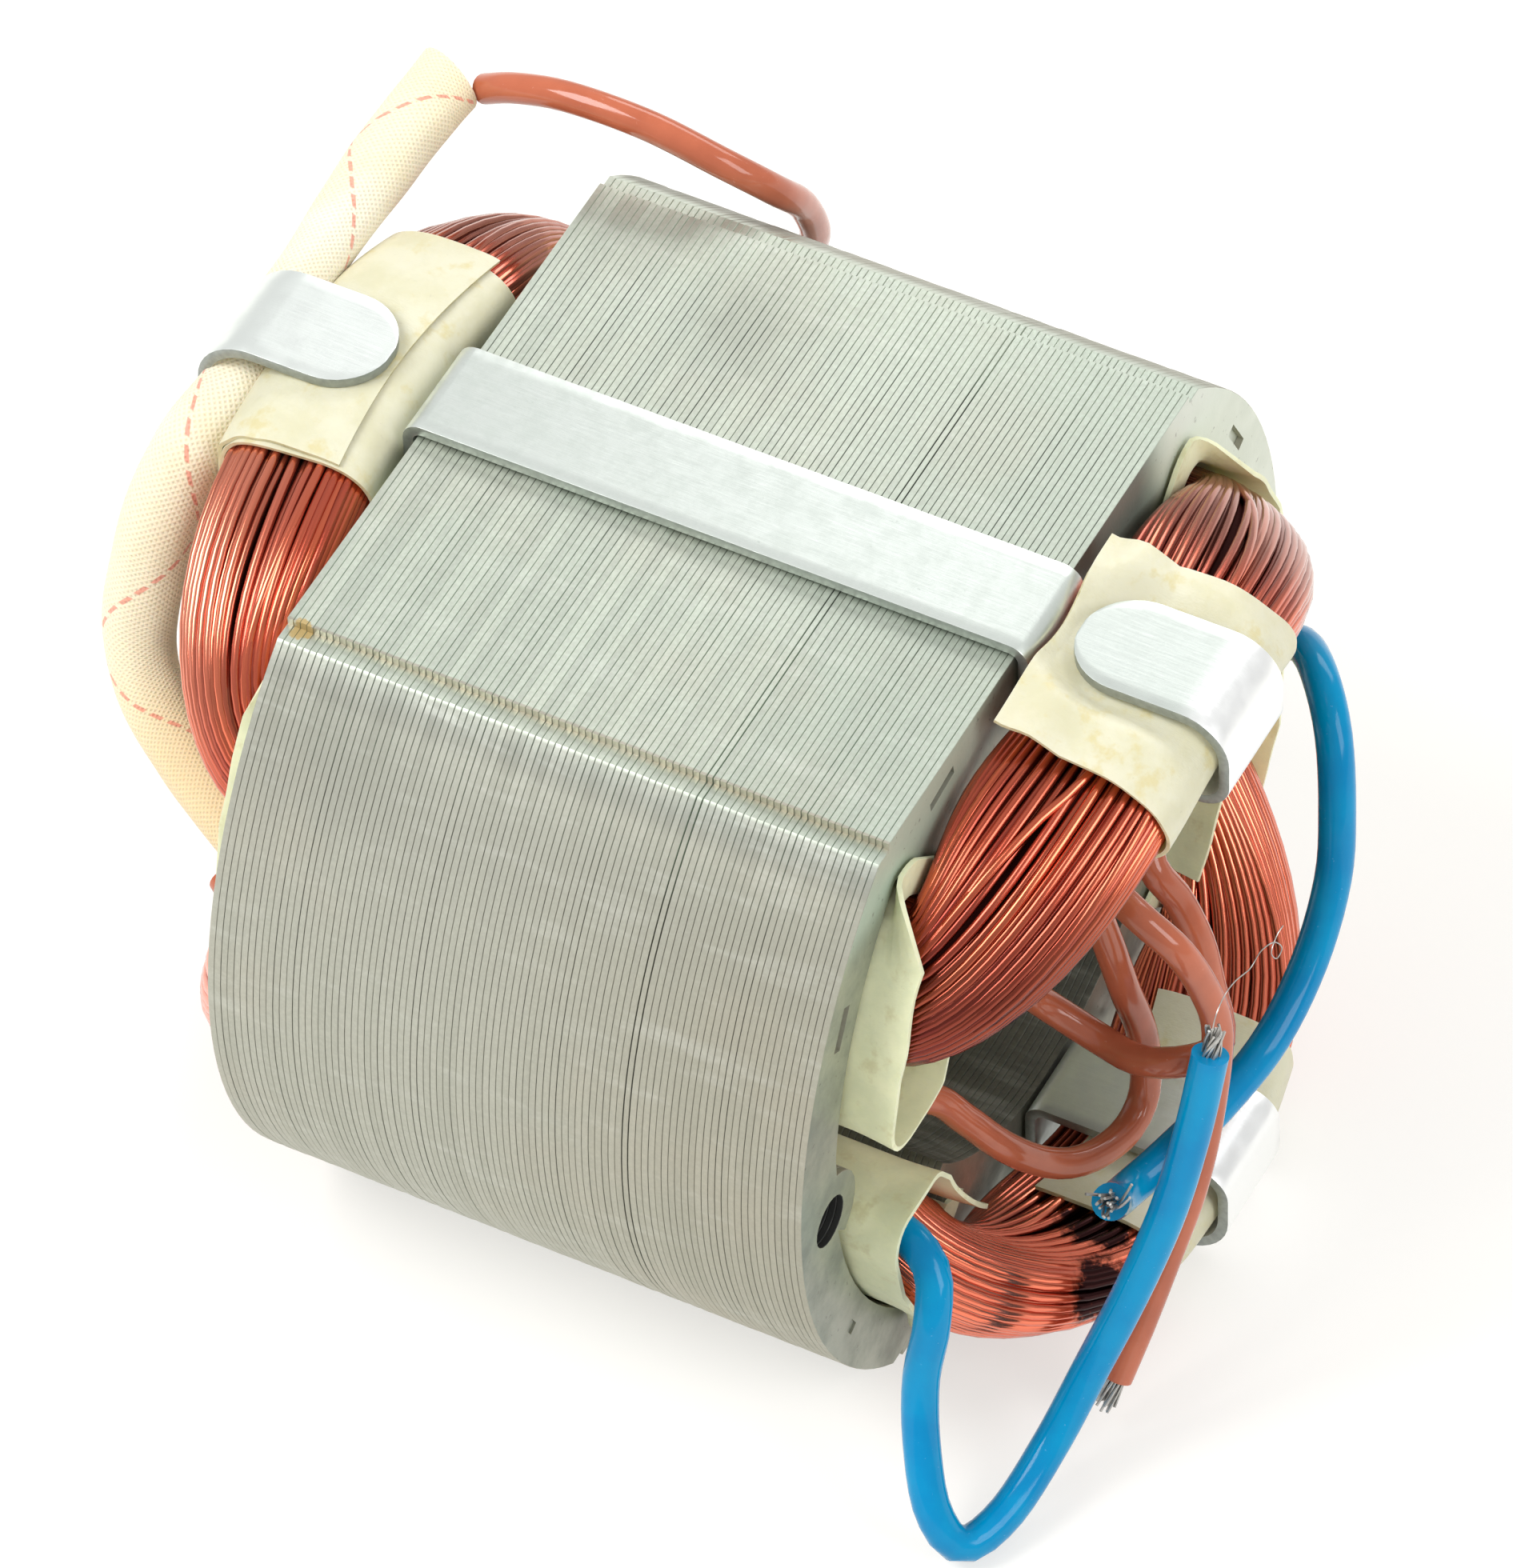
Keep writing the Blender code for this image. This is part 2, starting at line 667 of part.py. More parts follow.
def build_strands(name, line, finish):
    """The bare end of a lead, standing a clearance past its insulation and in line with it."""
    way = (line[-1] - line[-2]).normalized()
    strands = flat_prism(name, [strand_outline()], STRAND_LENGTH / 2, finish, COLLECTION)
    strands.rotation_euler = way.to_track_quat("Z", "Y").to_euler()
    strands.location = line[-1] + way * (CLEARANCE + STRAND_LENGTH / 2)
    as_mesh(strands)


# Routes of the leads: x, y and height above the bore's axis

BROWN_LEAD_ROUTE = [
    (-0.0282, -0.0238, -0.0012),
    (-0.0245, -0.0260, -0.0014),
    (-0.0180, -0.0268, -0.0016),
    (0.0000, -0.0268, -0.0016),
    (0.0110, -0.0264, -0.0014),
    (0.0165, -0.0244, -0.0012),
    (0.0205, -0.0214, -0.0014),
    (0.0232, -0.0184, -0.0030),
    (0.0248, -0.0168, -0.0060),
    (0.0268, -0.0150, -0.0098),
    (0.0287, -0.0126, -0.0131),
    (0.0304, -0.0102, -0.0146),
    (0.0315, -0.0066, -0.0154),
    (0.0317, -0.0038, -0.0146),
    (0.0315, -0.0028, -0.0118),
    (0.0311, -0.0028, -0.0080),
    (0.0305, -0.0038, -0.0036),
    (0.0298, -0.0046, 0.0012),
    (0.0288, -0.0052, 0.0062),
    (0.0288, -0.0060, 0.0104),
    (0.0312, -0.0074, 0.0112),
    (0.0340, -0.0082, 0.0104),
    (0.0366, -0.0080, 0.0082),
    (0.0380, -0.0070, 0.0040),
    (0.0388, -0.0066, -0.0004),
    (0.0392, -0.0086, -0.0060),
    (0.0394, -0.0116, -0.0108),
    (0.0390, -0.0146, -0.0150),
    (0.0384, -0.0176, -0.0196),
    (0.0378, -0.0200, -0.0232),
]

BROWN_LINK_ROUTE = [
    (0.0250, -0.0125, 0.0040),
    (0.0246, -0.0085, -0.0010),
    (0.0262, -0.0068, -0.0042),
    (0.0300, -0.0064, -0.0062),
    (0.0330, -0.0070, -0.0060),
    (0.0358, -0.0066, -0.0052),
    (0.0374, -0.0044, -0.0056),
    (0.0370, -0.0026, -0.0050),
    (0.0358, -0.0016, -0.0026),
    (0.0348, -0.0012, 0.0010),
    (0.0330, -0.0008, 0.0042),
    (0.0308, -0.0008, 0.0076),
    (0.0285, 0.0050, 0.0095),
    (0.0272, 0.0130, 0.0060),
    (0.0245, 0.0220, 0.0020),
    (0.0180, 0.0260, 0.0012),
    (0.0080, 0.0268, 0.0016),
    (-0.0180, 0.0268, 0.0016),
    (-0.0240, 0.0266, 0.0010),
    (-0.0285, 0.0280, 0.0000),
    (-0.0302, 0.0325, 0.0000),
    (-0.0280, 0.0372, 0.0004),
    (-0.0232, 0.0388, 0.0020),
    (-0.0170, 0.0382, 0.0060),
    (-0.0132, 0.0356, 0.0130),
    (-0.0118, 0.0316, 0.0206),
    (-0.0118, 0.0276, 0.0260),
    (-0.0146, 0.0255, 0.0293),
    (-0.0200, 0.0250, 0.0310),
    (-0.0262, 0.0250, 0.0310),
    (-0.0306, 0.0254, 0.0295),
    (-0.0334, 0.0260, 0.0276),
]

SLEEVE_ROUTE = [
    (-0.0360, 0.0268, 0.0276),
    (-0.0365, 0.0200, 0.0272),
    (-0.0368, 0.0120, 0.0266),
    (-0.0369, 0.0050, 0.0258),
    (-0.0368, 0.0000, 0.0253),
    (-0.0369, -0.0045, 0.0246),
    (-0.0380, -0.0080, 0.0226),
    (-0.0392, -0.0108, 0.0186),
    (-0.0400, -0.0126, 0.0142),
    (-0.0402, -0.0142, 0.0100),
    (-0.0390, -0.0158, 0.0072),
    (-0.0364, -0.0176, 0.0054),
    (-0.0328, -0.0196, 0.0042),
    (-0.0292, -0.0216, 0.0034),
]

BLUE_LEAD_A_ROUTE = [
    (0.0300, 0.0220, 0.0060),
    (0.0322, 0.0205, 0.0078),
    (0.0350, 0.0172, 0.0090),
    (0.0372, 0.0145, 0.0072),
    (0.0386, 0.0122, 0.0030),
    (0.0394, 0.0100, -0.0016),
    (0.0396, 0.0060, -0.0060),
    (0.0392, 0.0008, -0.0090),
    (0.0382, -0.0050, -0.0100),
    (0.0368, -0.0098, -0.0108),
    (0.0356, -0.0130, -0.0114),
    (0.0356, -0.0158, -0.0100),
    (0.0362, -0.0176, -0.0078),
]

BLUE_LEAD_B_ROUTE = [
    (0.0120, -0.0268, -0.0066),
    (0.0200, -0.0268, -0.0066),
    (0.0247, -0.0268, -0.0066),
    (0.0280, -0.0281, -0.0077),
    (0.0291, -0.0302, -0.0106),
    (0.0290, -0.0318, -0.0150),
    (0.0300, -0.0338, -0.0192),
    (0.0318, -0.0358, -0.0232),
    (0.0338, -0.0356, -0.0260),
    (0.0354, -0.0322, -0.0256),
    (0.0364, -0.0272, -0.0230),
    (0.0376, -0.0236, -0.0184),
    (0.0392, -0.0206, -0.0126),
    (0.0406, -0.0178, -0.0062),
    (0.0414, -0.0156, 0.0004),
    (0.0418, -0.0138, 0.0066),
]


def main():
    start_clean()
    steel = material("lamination_steel", (0.42, 0.43, 0.38), 0.42, 0.8)
    paper = material("slot_paper", (0.66, 0.70, 0.54), 0.6)
    film = material("wrap_film", (0.84, 0.81, 0.60), 0.45)
    copper = material("enamelled_copper", (0.45, 0.10, 0.05), 0.3, 0.6)
    zinc = material("zinc_strip", (0.72, 0.75, 0.74), 0.35, 0.8)
    blue = material("blue_lead", (0.0, 0.24, 0.56), 0.35)
    brown = material("brown_lead", (0.40, 0.11, 0.06), 0.35)
    glass = material("glass_sleeve", (0.86, 0.72, 0.50), 0.8)
    tinned = material("tinned_copper", (0.6, 0.6, 0.58), 0.35, 0.9)

    build_stack(steel)
    for word, level in (("upper", 1), ("lower", -1)):
        build_coil(f"{word}_coil", level, copper)
        build_clip(f"{word}_clip", level, zinc)
        build_liner(f"{word}_near_liner", -1, level, paper)
        build_liner(f"{word}_far_liner", 1, level, paper)
        build_wrap(f"{word}_front_wrap", level, 1, film)
        build_wrap(f"{word}_rear_wrap", level, -1, film)
    line = cord_line(SLEEVE_ROUTE, SLEEVE_DIAMETER, SLEEVE_PITCH)
    pinch_sleeve(build_cord("glass_sleeve", line, SLEEVE_DIAMETER, glass))
    build_cord("brown_link", cord_line(BROWN_LINK_ROUTE, BROWN_DIAMETER), BROWN_DIAMETER, brown)
    leads = (
        ("brown_lead", BROWN_LEAD_ROUTE, BROWN_DIAMETER, brown),
        ("blue_lead_a", BLUE_LEAD_A_ROUTE, BLUE_DIAMETER, blue),
        ("blue_lead_b", BLUE_LEAD_B_ROUTE, BLUE_DIAMETER, blue),
    )
    for name, route, diameter, finish in leads:
        line = cord_line(route, diameter)
        build_cord(name, line, diameter, finish)
        build_strands(f"{name}_strands", line, tinned)


main()
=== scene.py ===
# %% [markdown]
# A wound stator on a pale table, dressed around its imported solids. The solids give every size and place,
# so the first cell loads them. Each later cell makes one real piece of the motor or one of its finishes,
# hides the plain solid it stands for, and prints what it made.

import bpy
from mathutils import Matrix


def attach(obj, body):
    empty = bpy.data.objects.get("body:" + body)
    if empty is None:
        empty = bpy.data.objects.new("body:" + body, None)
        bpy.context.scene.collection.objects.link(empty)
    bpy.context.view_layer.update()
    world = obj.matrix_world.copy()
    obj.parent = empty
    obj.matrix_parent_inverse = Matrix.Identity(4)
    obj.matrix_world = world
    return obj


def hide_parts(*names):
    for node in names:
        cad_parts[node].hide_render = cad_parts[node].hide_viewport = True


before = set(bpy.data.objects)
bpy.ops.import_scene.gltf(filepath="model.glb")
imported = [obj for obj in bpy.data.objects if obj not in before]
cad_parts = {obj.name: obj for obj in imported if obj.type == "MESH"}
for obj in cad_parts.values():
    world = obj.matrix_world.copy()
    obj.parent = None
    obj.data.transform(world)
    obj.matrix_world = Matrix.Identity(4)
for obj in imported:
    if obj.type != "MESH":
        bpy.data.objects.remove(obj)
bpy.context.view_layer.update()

# %% [markdown]
# Everything is in metres. X runs along the stack, Y across its two flats and Z up. The bore's axis lies
# level, a strap's thickness above the height of a flat, because the stator rests on the strap of its
# lower clip. These sizes are the solids' own, so a finer piece lands where the plain one was.

# %% Shared sizes
import math
import random

import bpy
from mathutils import Matrix, Vector, noise

MM = 0.001
HALF_STACK = 22.5 * MM
FLAT_HEIGHT = 26.8 * MM
CLEARANCE = 0.3 * MM
STRIP_THICKNESS = 0.8 * MM
AXIS_HEIGHT = FLAT_HEIGHT + CLEARANCE + STRIP_THICKNESS
FLAT_TOP = AXIS_HEIGHT + FLAT_HEIGHT
dice = random.Random(7)


def polar(radius, angle):
    """A section point (y, height above the axis) at an angle from straight up, on the far side."""
    return (radius * math.sin(angle), radius * math.cos(angle))


def arc(radius, first, last, steps):
    return [polar(radius, first + (last - first) * i / steps) for i in range(steps + 1)]


print("axis height in mm:", round(AXIS_HEIGHT / MM, 2))

# %% [markdown]
# The camera is set first, so that every later choice can be judged in the picture. It stands about 0.9 m
# away with a long lens, looks down at 49 degrees from the front right, and leans two degrees. Its axes
# are worked out from those angles and put straight into its matrix.

# %% Camera
PICTURE_HEIGHT = 1960
FOCAL_PIXELS = 16265.0
SENSOR_WIDTH = 36.0
FAR_CLIP = 10.0
CAMERA_AZIMUTH = math.radians(29.175)
CAMERA_ELEVATION = math.radians(48.984)
CAMERA_ROLL = math.radians(-2.22)
CAMERA_DISTANCE = 881.8 * MM
CAMERA_ASIDE = 0.672 * MM
CAMERA_UP = -9.144 * MM
AIM = Vector((0.0, 0.0, 40.3 * MM))


def camera_axes():
    """The camera's right, its up, and the way back from what it looks at."""
    level = math.cos(CAMERA_ELEVATION)
    east, north = math.sin(CAMERA_AZIMUTH) * level, -math.cos(CAMERA_AZIMUTH) * level
    back = Vector((east, north, math.sin(CAMERA_ELEVATION)))
    right = Vector((0, 0, 1)).cross(back).normalized()
    up = back.cross(right)
    c, s = math.cos(CAMERA_ROLL), math.sin(CAMERA_ROLL)
    return c * right + s * up, c * up - s * right, back


camera_data = bpy.data.cameras.new("camera")
camera_data.sensor_width = SENSOR_WIDTH
camera_data.lens = FOCAL_PIXELS / PICTURE_HEIGHT * SENSOR_WIDTH
camera_data.clip_end = FAR_CLIP
camera = bpy.data.objects.new("camera", camera_data)
bpy.context.scene.collection.objects.link(camera)
to_right, to_up, to_back = camera_axes()
stand = Matrix((to_right, to_up, to_back)).transposed().to_4x4()
stand.translation = AIM + to_back * CAMERA_DISTANCE + to_right * CAMERA_ASIDE + to_up * CAMERA_UP
camera.matrix_world = stand
bpy.context.scene.camera = camera
print("lens in mm:", round(camera_data.lens, 1))

# %% [markdown]
# Materials are built from nodes. These helpers keep that short: one starts a finish, one adds a node,
# sets its sockets and links any socket that it is given, and the others are the few patterns and sums
# that every finish uses. A pattern lies on the piece's own coordinates, so it stays on its piece from
# every side.

# %% Helpers for finishes
def start_finish(name):
    made = bpy.data.materials.new(name)
    made.use_nodes = True
    return made, made.node_tree.nodes["Principled BSDF"]


def put(made, socket, value):
    """Links another node's output to a socket, or sets the socket to a value."""
    if isinstance(value, bpy.types.NodeSocket):
        made.node_tree.links.new(value, socket)
    else:
        socket.default_value = value


def add_node(made, kind, sockets=None, **settings):
    """Adds a node with its settings and fills its sockets by name or number."""
    node = made.node_tree.nodes.new(kind)
    for key, value in settings.items():
        setattr(node, key, value)
    for key, value in (sockets or {}).items():
        put(made, node.inputs[key], value)
    return node


def fill(made, node, **sockets):
    """Fills a node's sockets by name, with underscores for spaces."""
    for key, value in sockets.items():
        put(made, node.inputs[key.replace("_", " ")], value)


def piece_point(made, stretch=(1.0, 1.0, 1.0)):
    """The piece's own coordinates, squeezed along an axis where the stretch is over 1."""
    place = add_node(made, "ShaderNodeTexCoord").outputs["Object"]
    return add_node(made, "ShaderNodeMapping", {"Vector": place, "Scale": stretch}).outputs["Vector"]


def cloud(made, point, size, detail=3.0, roughness=0.55):
    """Soft noise whose patches are about this many metres wide."""
    sockets = {"Vector": point, "Scale": 1.0 / size, "Detail": detail, "Roughness": roughness}
    return add_node(made, "ShaderNodeTexNoise", sockets).outputs["Fac"]


def sums(made, operation, first, second=0.0, third=0.0):
    node = add_node(made, "ShaderNodeMath", {0: first, 1: second, 2: third}, operation=operation)
    return node.outputs[0]


def product(made, first, second):
    return sums(made, "MULTIPLY", first, second)


def fade(made, value, low, high, out_low=0.0, out_high=1.0):
    """Reads a value between two marks as a smooth step between two others."""
    sockets = {"Value": value, "From Min": low, "From Max": high, "To Min": out_low, "To Max": out_high}
    return add_node(made, "ShaderNodeMapRange", sockets, interpolation_type="SMOOTHSTEP").outputs["Result"]


def blend_colour(made, share, first, second):
    node = add_node(made, "ShaderNodeMix", {0: share}, data_type="RGBA")
    for number, colour in ((6, first), (7, second)):
        put(made, node.inputs[number], (*colour, 1.0) if isinstance(colour, tuple) else colour)
    return node.outputs[2]


def lay_over(made, base, *coats):
    """A base colour with coats laid over it in order, each given as its share and its colour."""
    for share, colour in coats:
        base = blend_colour(made, share, base, colour)
    return base


def bumps(made, height, depth, before=None):
    sockets = {"Height": height, "Distance": depth, "Strength": 1.0}
    if before is not None:
        sockets["Normal"] = before
    return add_node(made, "ShaderNodeBump", sockets).outputs["Normal"]


def split(made, vector):
    """A vector's X, Y and Z."""
    return tuple(add_node(made, "ShaderNodeSeparateXYZ", {"Vector": vector}).outputs)


# %% [markdown]
# Helpers for the modelling: one frees the selection before an operator acts, one adds an object to the
# scene, one lays a sheet through rows of points, and others thicken, join and weld. `settle` applies a
# piece's transforms, so that it lies at the origin with its place in its mesh, and hands it to the body
# it rides on.

# %% Helpers for modelling
WELD_DISTANCE = 0.002 * MM


def only(obj):
    """Selects one object alone and makes it active."""
    for other in bpy.context.selected_objects:
        other.select_set(False)
    bpy.context.view_layer.objects.active = obj
    obj.select_set(True)
    return obj


def new_object(name, data):
    obj = bpy.data.objects.new(name, data)
    bpy.context.scene.collection.objects.link(obj)
    return obj


def sheet_through(name, rows, closed=False):
    """A mesh through rows of equally many points. A closed one joins each row's end to its start."""
    count = len(rows[0])
    faces = []
    for low in range(0, (len(rows) - 1) * count, count):
        for i in range(count if closed else count - 1):
            j = (i + 1) % count
            faces.append((low + i, low + j, low + count + j, low + count + i))
    mesh = bpy.data.meshes.new(name)
    mesh.from_pydata([tuple(p) for row in rows for p in row], [], faces)
    return new_object(name, mesh)


def modify(obj, kind, **settings):
    """Adds a modifier and applies it at once."""
    only(obj)
    modifier = obj.modifiers.new(kind.lower(), kind)
    for key, value in settings.items():
        setattr(modifier, key, value)
    bpy.ops.object.modifier_apply(modifier=modifier.name)


def turn_out(obj):
    """Welds doubles and points every face outwards."""
    only(obj)
    bpy.ops.object.mode_set(mode="EDIT")
    bpy.ops.mesh.select_all(action="SELECT")
    bpy.ops.mesh.remove_doubles(threshold=WELD_DISTANCE)
    bpy.ops.mesh.normals_make_consistent(inside=False)
    bpy.ops.object.mode_set(mode="OBJECT")


def thicken(sheet, thickness, own_edges=False):
    """Gives a sheet its thickness. Edges of their own take the second of two finishes set later."""
    if own_edges:
        for _ in range(2):
            sheet.data.materials.append(bpy.data.materials.new("spare"))
    modify(sheet, "SOLIDIFY", thickness=thickness, offset=0.0, material_offset_rim=int(own_edges))
    turn_out(sheet)


def join(pieces):
    """Joins pieces into the first of them."""
    only(pieces[0])
    for piece in pieces:
        piece.select_set(True)
    bpy.ops.object.join()
    return pieces[0]


def converted(obj):
    """The mesh that a curve turns into."""
    only(obj)
    bpy.ops.object.convert(target="MESH")
    return bpy.context.view_layer.objects.active


def add_line(curve, points, cyclic=False):
    """Adds a line through points to a curve."""
    spline = curve.splines.new("POLY")
    spline.points.add(len(points) - 1)
    for point, place in zip(spline.points, points):
        point.co = (*place, 1.0)
    spline.use_cyclic_u = cyclic


def settle(obj, finish, slot, *nodes, smooth_angle=40):
    """Places a finished piece: its transforms applied, shaded, painted, and standing for its solids."""
    only(obj)
    bpy.ops.object.transform_apply(location=True, rotation=True, scale=True)
    if obj.type == "MESH":
        bpy.ops.object.shade_smooth_by_angle(angle=math.radians(smooth_angle))
    if finish:
        obj.data.materials.clear()
        obj.data.materials.append(finish)
    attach(obj, "root")
    if nodes:
        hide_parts(*nodes)
    print(obj.name, "faces:", len(obj.data.polygons) if obj.type == "MESH" else "curve")


def smooth_route(route, steps=12):
    """A smooth curve through a route's points, read at short steps."""
    places = [Vector(p) for p in route]
    places = [places[0] * 2 - places[1]] + places + [places[-1] * 2 - places[-2]]
    made = []
    for a, b, c, d in zip(places, places[1:], places[2:], places[3:]):
        for i in range(steps):
            t = i / steps
            bend = (2 * a - 5 * b + 4 * c - d) * t**2 + (3 * b - a - 3 * c + d) * t**3
            made.append(0.5 * (2 * b + (c - a) * t + bend))
    return made + [places[-2]]


def line_length(line):
    return sum((b - a).length for a, b in zip(line, line[1:]))


def evenly(line, count):
    """The same line read again at a number of even steps."""
    step = line_length(line) / count
    made = [line[0]]
    travelled = 0.0
    for a, b in zip(line, line[1:]):
        length = (b - a).length
        while length and travelled + length >= step * len(made) and len(made) < count:
            made.append(a.lerp(b, (step * len(made) - travelled) / length))
        travelled += length
    return made + [line[-1]]


# %% [markdown]
# The lead wires are soft insulated copper: two blue ones and a brown one end bare, and a brown link goes
# from the front round behind the stack into the glass sleeve. A cord is a curve with a round bevel,
# because a curve keeps its section round through every bend. The routes are those of the solids: x, y and
# height above the bore's axis in millimetres. Only the sleeve's lies up to 0.8 mm nearer its coil on the
# way and runs on 3 mm at its hidden end. A smooth curve through each is read again at even steps.

# %% Routes of the leads
BROWN_DIAMETER = 2.2 * MM
BLUE_DIAMETER = 2.6 * MM
SLEEVE_DIAMETER = 4.1 * MM
CORD_STEP = 0.45
CORD_SMOOTHNESS = 8

BROWN_LEAD_ROUTE = (
    (-28.2, -23.8, -1.2), (-24.5, -26.0, -1.4), (-18.0, -26.8, -1.6), (0.0, -26.8, -1.6),
    (11.0, -26.4, -1.4), (16.5, -24.4, -1.2), (20.5, -21.4, -1.4), (23.2, -18.4, -3.0),
    (24.8, -16.8, -6.0), (26.8, -15.0, -9.8), (28.7, -12.6, -13.1), (30.4, -10.2, -14.6),
    (31.5, -6.6, -15.4), (31.7, -3.8, -14.6), (31.5, -2.8, -11.8), (31.1, -2.8, -8.0), (30.5, -3.8, -3.6),
    (29.8, -4.6, 1.2), (28.8, -5.2, 6.2), (28.8, -6.0, 10.4), (31.2, -7.4, 11.2), (34.0, -8.2, 10.4),
    (36.6, -8.0, 8.2), (38.0, -7.0, 4.0), (38.8, -6.6, -0.4), (39.2, -8.6, -6.0), (39.4, -11.6, -10.8),
    (39.0, -14.6, -15.0), (38.4, -17.6, -19.6), (37.8, -20.0, -23.2),
)
BROWN_LINK_ROUTE = (
    (25.0, -12.5, 4.0), (24.6, -8.5, -1.0), (26.2, -6.8, -4.2), (30.0, -6.4, -6.2), (33.0, -7.0, -6.0),
    (35.8, -6.6, -5.2), (37.4, -4.4, -5.6), (37.0, -2.6, -5.0), (35.8, -1.6, -2.6), (34.8, -1.2, 1.0),
    (33.0, -0.8, 4.2), (30.8, -0.8, 7.6), (28.5, 5.0, 9.5), (27.2, 13.0, 6.0), (24.5, 22.0, 2.0),
    (18.0, 26.0, 1.2), (8.0, 26.8, 1.6), (-18.0, 26.8, 1.6), (-24.0, 26.6, 1.0), (-28.5, 28.0, 0.0),
    (-30.2, 32.5, 0.0), (-28.0, 37.2, 0.4), (-23.2, 38.8, 2.0), (-17.0, 38.2, 6.0), (-13.2, 35.6, 13.0),
    (-11.8, 31.6, 20.6), (-11.8, 27.6, 26.0), (-14.6, 25.5, 29.3), (-20.0, 25.0, 31.0),
    (-26.2, 25.0, 31.0), (-30.6, 25.4, 29.5), (-33.4, 26.0, 27.6),
)
SLEEVE_ROUTE = (
    (-36.0, 26.8, 27.6), (-36.5, 20.0, 27.2), (-36.8, 12.0, 26.6), (-36.9, 5.0, 25.8), (-36.8, 0.0, 25.3),
    (-36.9, -4.5, 24.6), (-37.9, -8.0, 22.6), (-38.8, -10.8, 18.6), (-39.3, -12.6, 14.2),
    (-39.4, -14.2, 10.0), (-38.3, -15.8, 7.2), (-36.1, -17.6, 5.4), (-32.8, -19.6, 4.2),
    (-29.2, -21.6, 3.4), (-26.4, -23.0, 2.8),
)
BLUE_LEAD_A_ROUTE = (
    (30.0, 22.0, 6.0), (32.2, 20.5, 7.8), (35.0, 17.2, 9.0), (37.2, 14.5, 7.2), (38.6, 12.2, 3.0),
    (39.4, 10.0, -1.6), (39.6, 6.0, -6.0), (39.2, 0.8, -9.0), (38.2, -5.0, -10.0), (36.8, -9.8, -10.8),
    (35.6, -13.0, -11.4), (35.6, -15.8, -10.0), (36.2, -17.6, -7.8),
)
BLUE_LEAD_B_ROUTE = (
    (12.0, -26.8, -6.6), (20.0, -26.8, -6.6), (24.7, -26.8, -6.6), (28.0, -28.1, -7.7),
    (29.1, -30.2, -10.6), (29.0, -31.8, -15.0), (30.0, -33.8, -19.2), (31.8, -35.8, -23.2),
    (33.8, -35.6, -26.0), (35.4, -32.2, -25.6), (36.4, -27.2, -23.0), (37.6, -23.6, -18.4),
    (39.2, -20.6, -12.6), (40.6, -17.8, -6.2), (41.4, -15.6, 0.4), (41.8, -13.8, 6.6),
)


def in_frame(route):
    return [Vector((x * MM, y * MM, z * MM + AXIS_HEIGHT)) for x, y, z in route]


def wire_curve(name, lines, radius, smoothness, cyclic=False):
    """One curve with a round bevel along several lines of points."""
    curve = bpy.data.curves.new(name, "CURVE")
    curve.dimensions = "3D"
    curve.bevel_depth = radius
    curve.bevel_resolution = smoothness
    curve.use_fill_caps = not cyclic
    for line in lines:
        add_line(curve, line, cyclic)
    return curve


def cord_curve(name, route, diameter):
    """A round cord as one open spline, with a point every 0.45 diameters, and its line."""
    line = smooth_route(in_frame(route))
    line = evenly(line, round(line_length(line) / (diameter * CORD_STEP)))
    return new_object(name, wire_curve(name, [line], diameter / 2, CORD_SMOOTHNESS)), line


# %% [markdown]
# The insulation is soft coloured plastic with a shine. A flat colour would look like a drawing, so the
# gloss is broken by faint smears and the colour by cloudy patches and pale specks, with a very slight
# waviness left by the die that drew it.

# %% Finish of the lead insulation
def insulation_finish(name, colour, deeper, gloss):
    made, shader = start_finish(name)
    point = piece_point(made)
    patches = fade(made, cloud(made, point, 6 * MM, 4.0), 0.35, 0.7)
    specks = fade(made, cloud(made, point, 0.3 * MM, 2.0), 0.70, 0.78, 0.0, 0.3)
    paler = tuple(min(c + 0.2, 1.0) for c in colour)
    smears = cloud(made, point, 1.2 * MM, 3.0)
    fill(made, shader, Base_Color=lay_over(made, colour, (patches, deeper), (specks, paler)))
    fill(made, shader, Roughness=fade(made, smears, 0.3, 0.75, 0.09, 0.17), Specular_IOR_Level=gloss)
    fill(made, shader, Normal=bumps(made, cloud(made, point, 4.0 * MM, 1.0), 0.08 * MM))
    return made


blue_insulation = insulation_finish("blue_insulation", (0.0, 0.28, 0.54), (0.0, 0.22, 0.48), 0.22)
brown_insulation = insulation_finish("brown_insulation", (0.51, 0.138, 0.068), (0.41, 0.104, 0.050), 0.5)
print("insulation finishes:", blue_insulation.name, brown_insulation.name)

# %% Lead cords
cords = {}
for name, route, diameter, finish, slot in (
    ("brown_lead", BROWN_LEAD_ROUTE, BROWN_DIAMETER, brown_insulation, "brown_insulation"),
    ("brown_link", BROWN_LINK_ROUTE, BROWN_DIAMETER, brown_insulation, "brown_insulation"),
    ("blue_lead_a", BLUE_LEAD_A_ROUTE, BLUE_DIAMETER, blue_insulation, "blue_insulation"),
    ("blue_lead_b", BLUE_LEAD_B_ROUTE, BLUE_DIAMETER, blue_insulation, "blue_insulation"),
):
    cord, line = cord_curve(name + "_cord", route, diameter)
    settle(cord, finish, slot, name)
    cords[name] = (cord, line, diameter)
    print(name, "length in mm:", round(line_length(line) / MM, 1))

# %% [markdown]
# Each free lead ends in its own copper strands, tinned grey. A bundle is drawn as thin curves that twist
# round the lead's last direction and open towards their tips, and the curves become one mesh. The blue
# lead that faces the viewer has the most splayed end, and one hair of wire strays from the other.

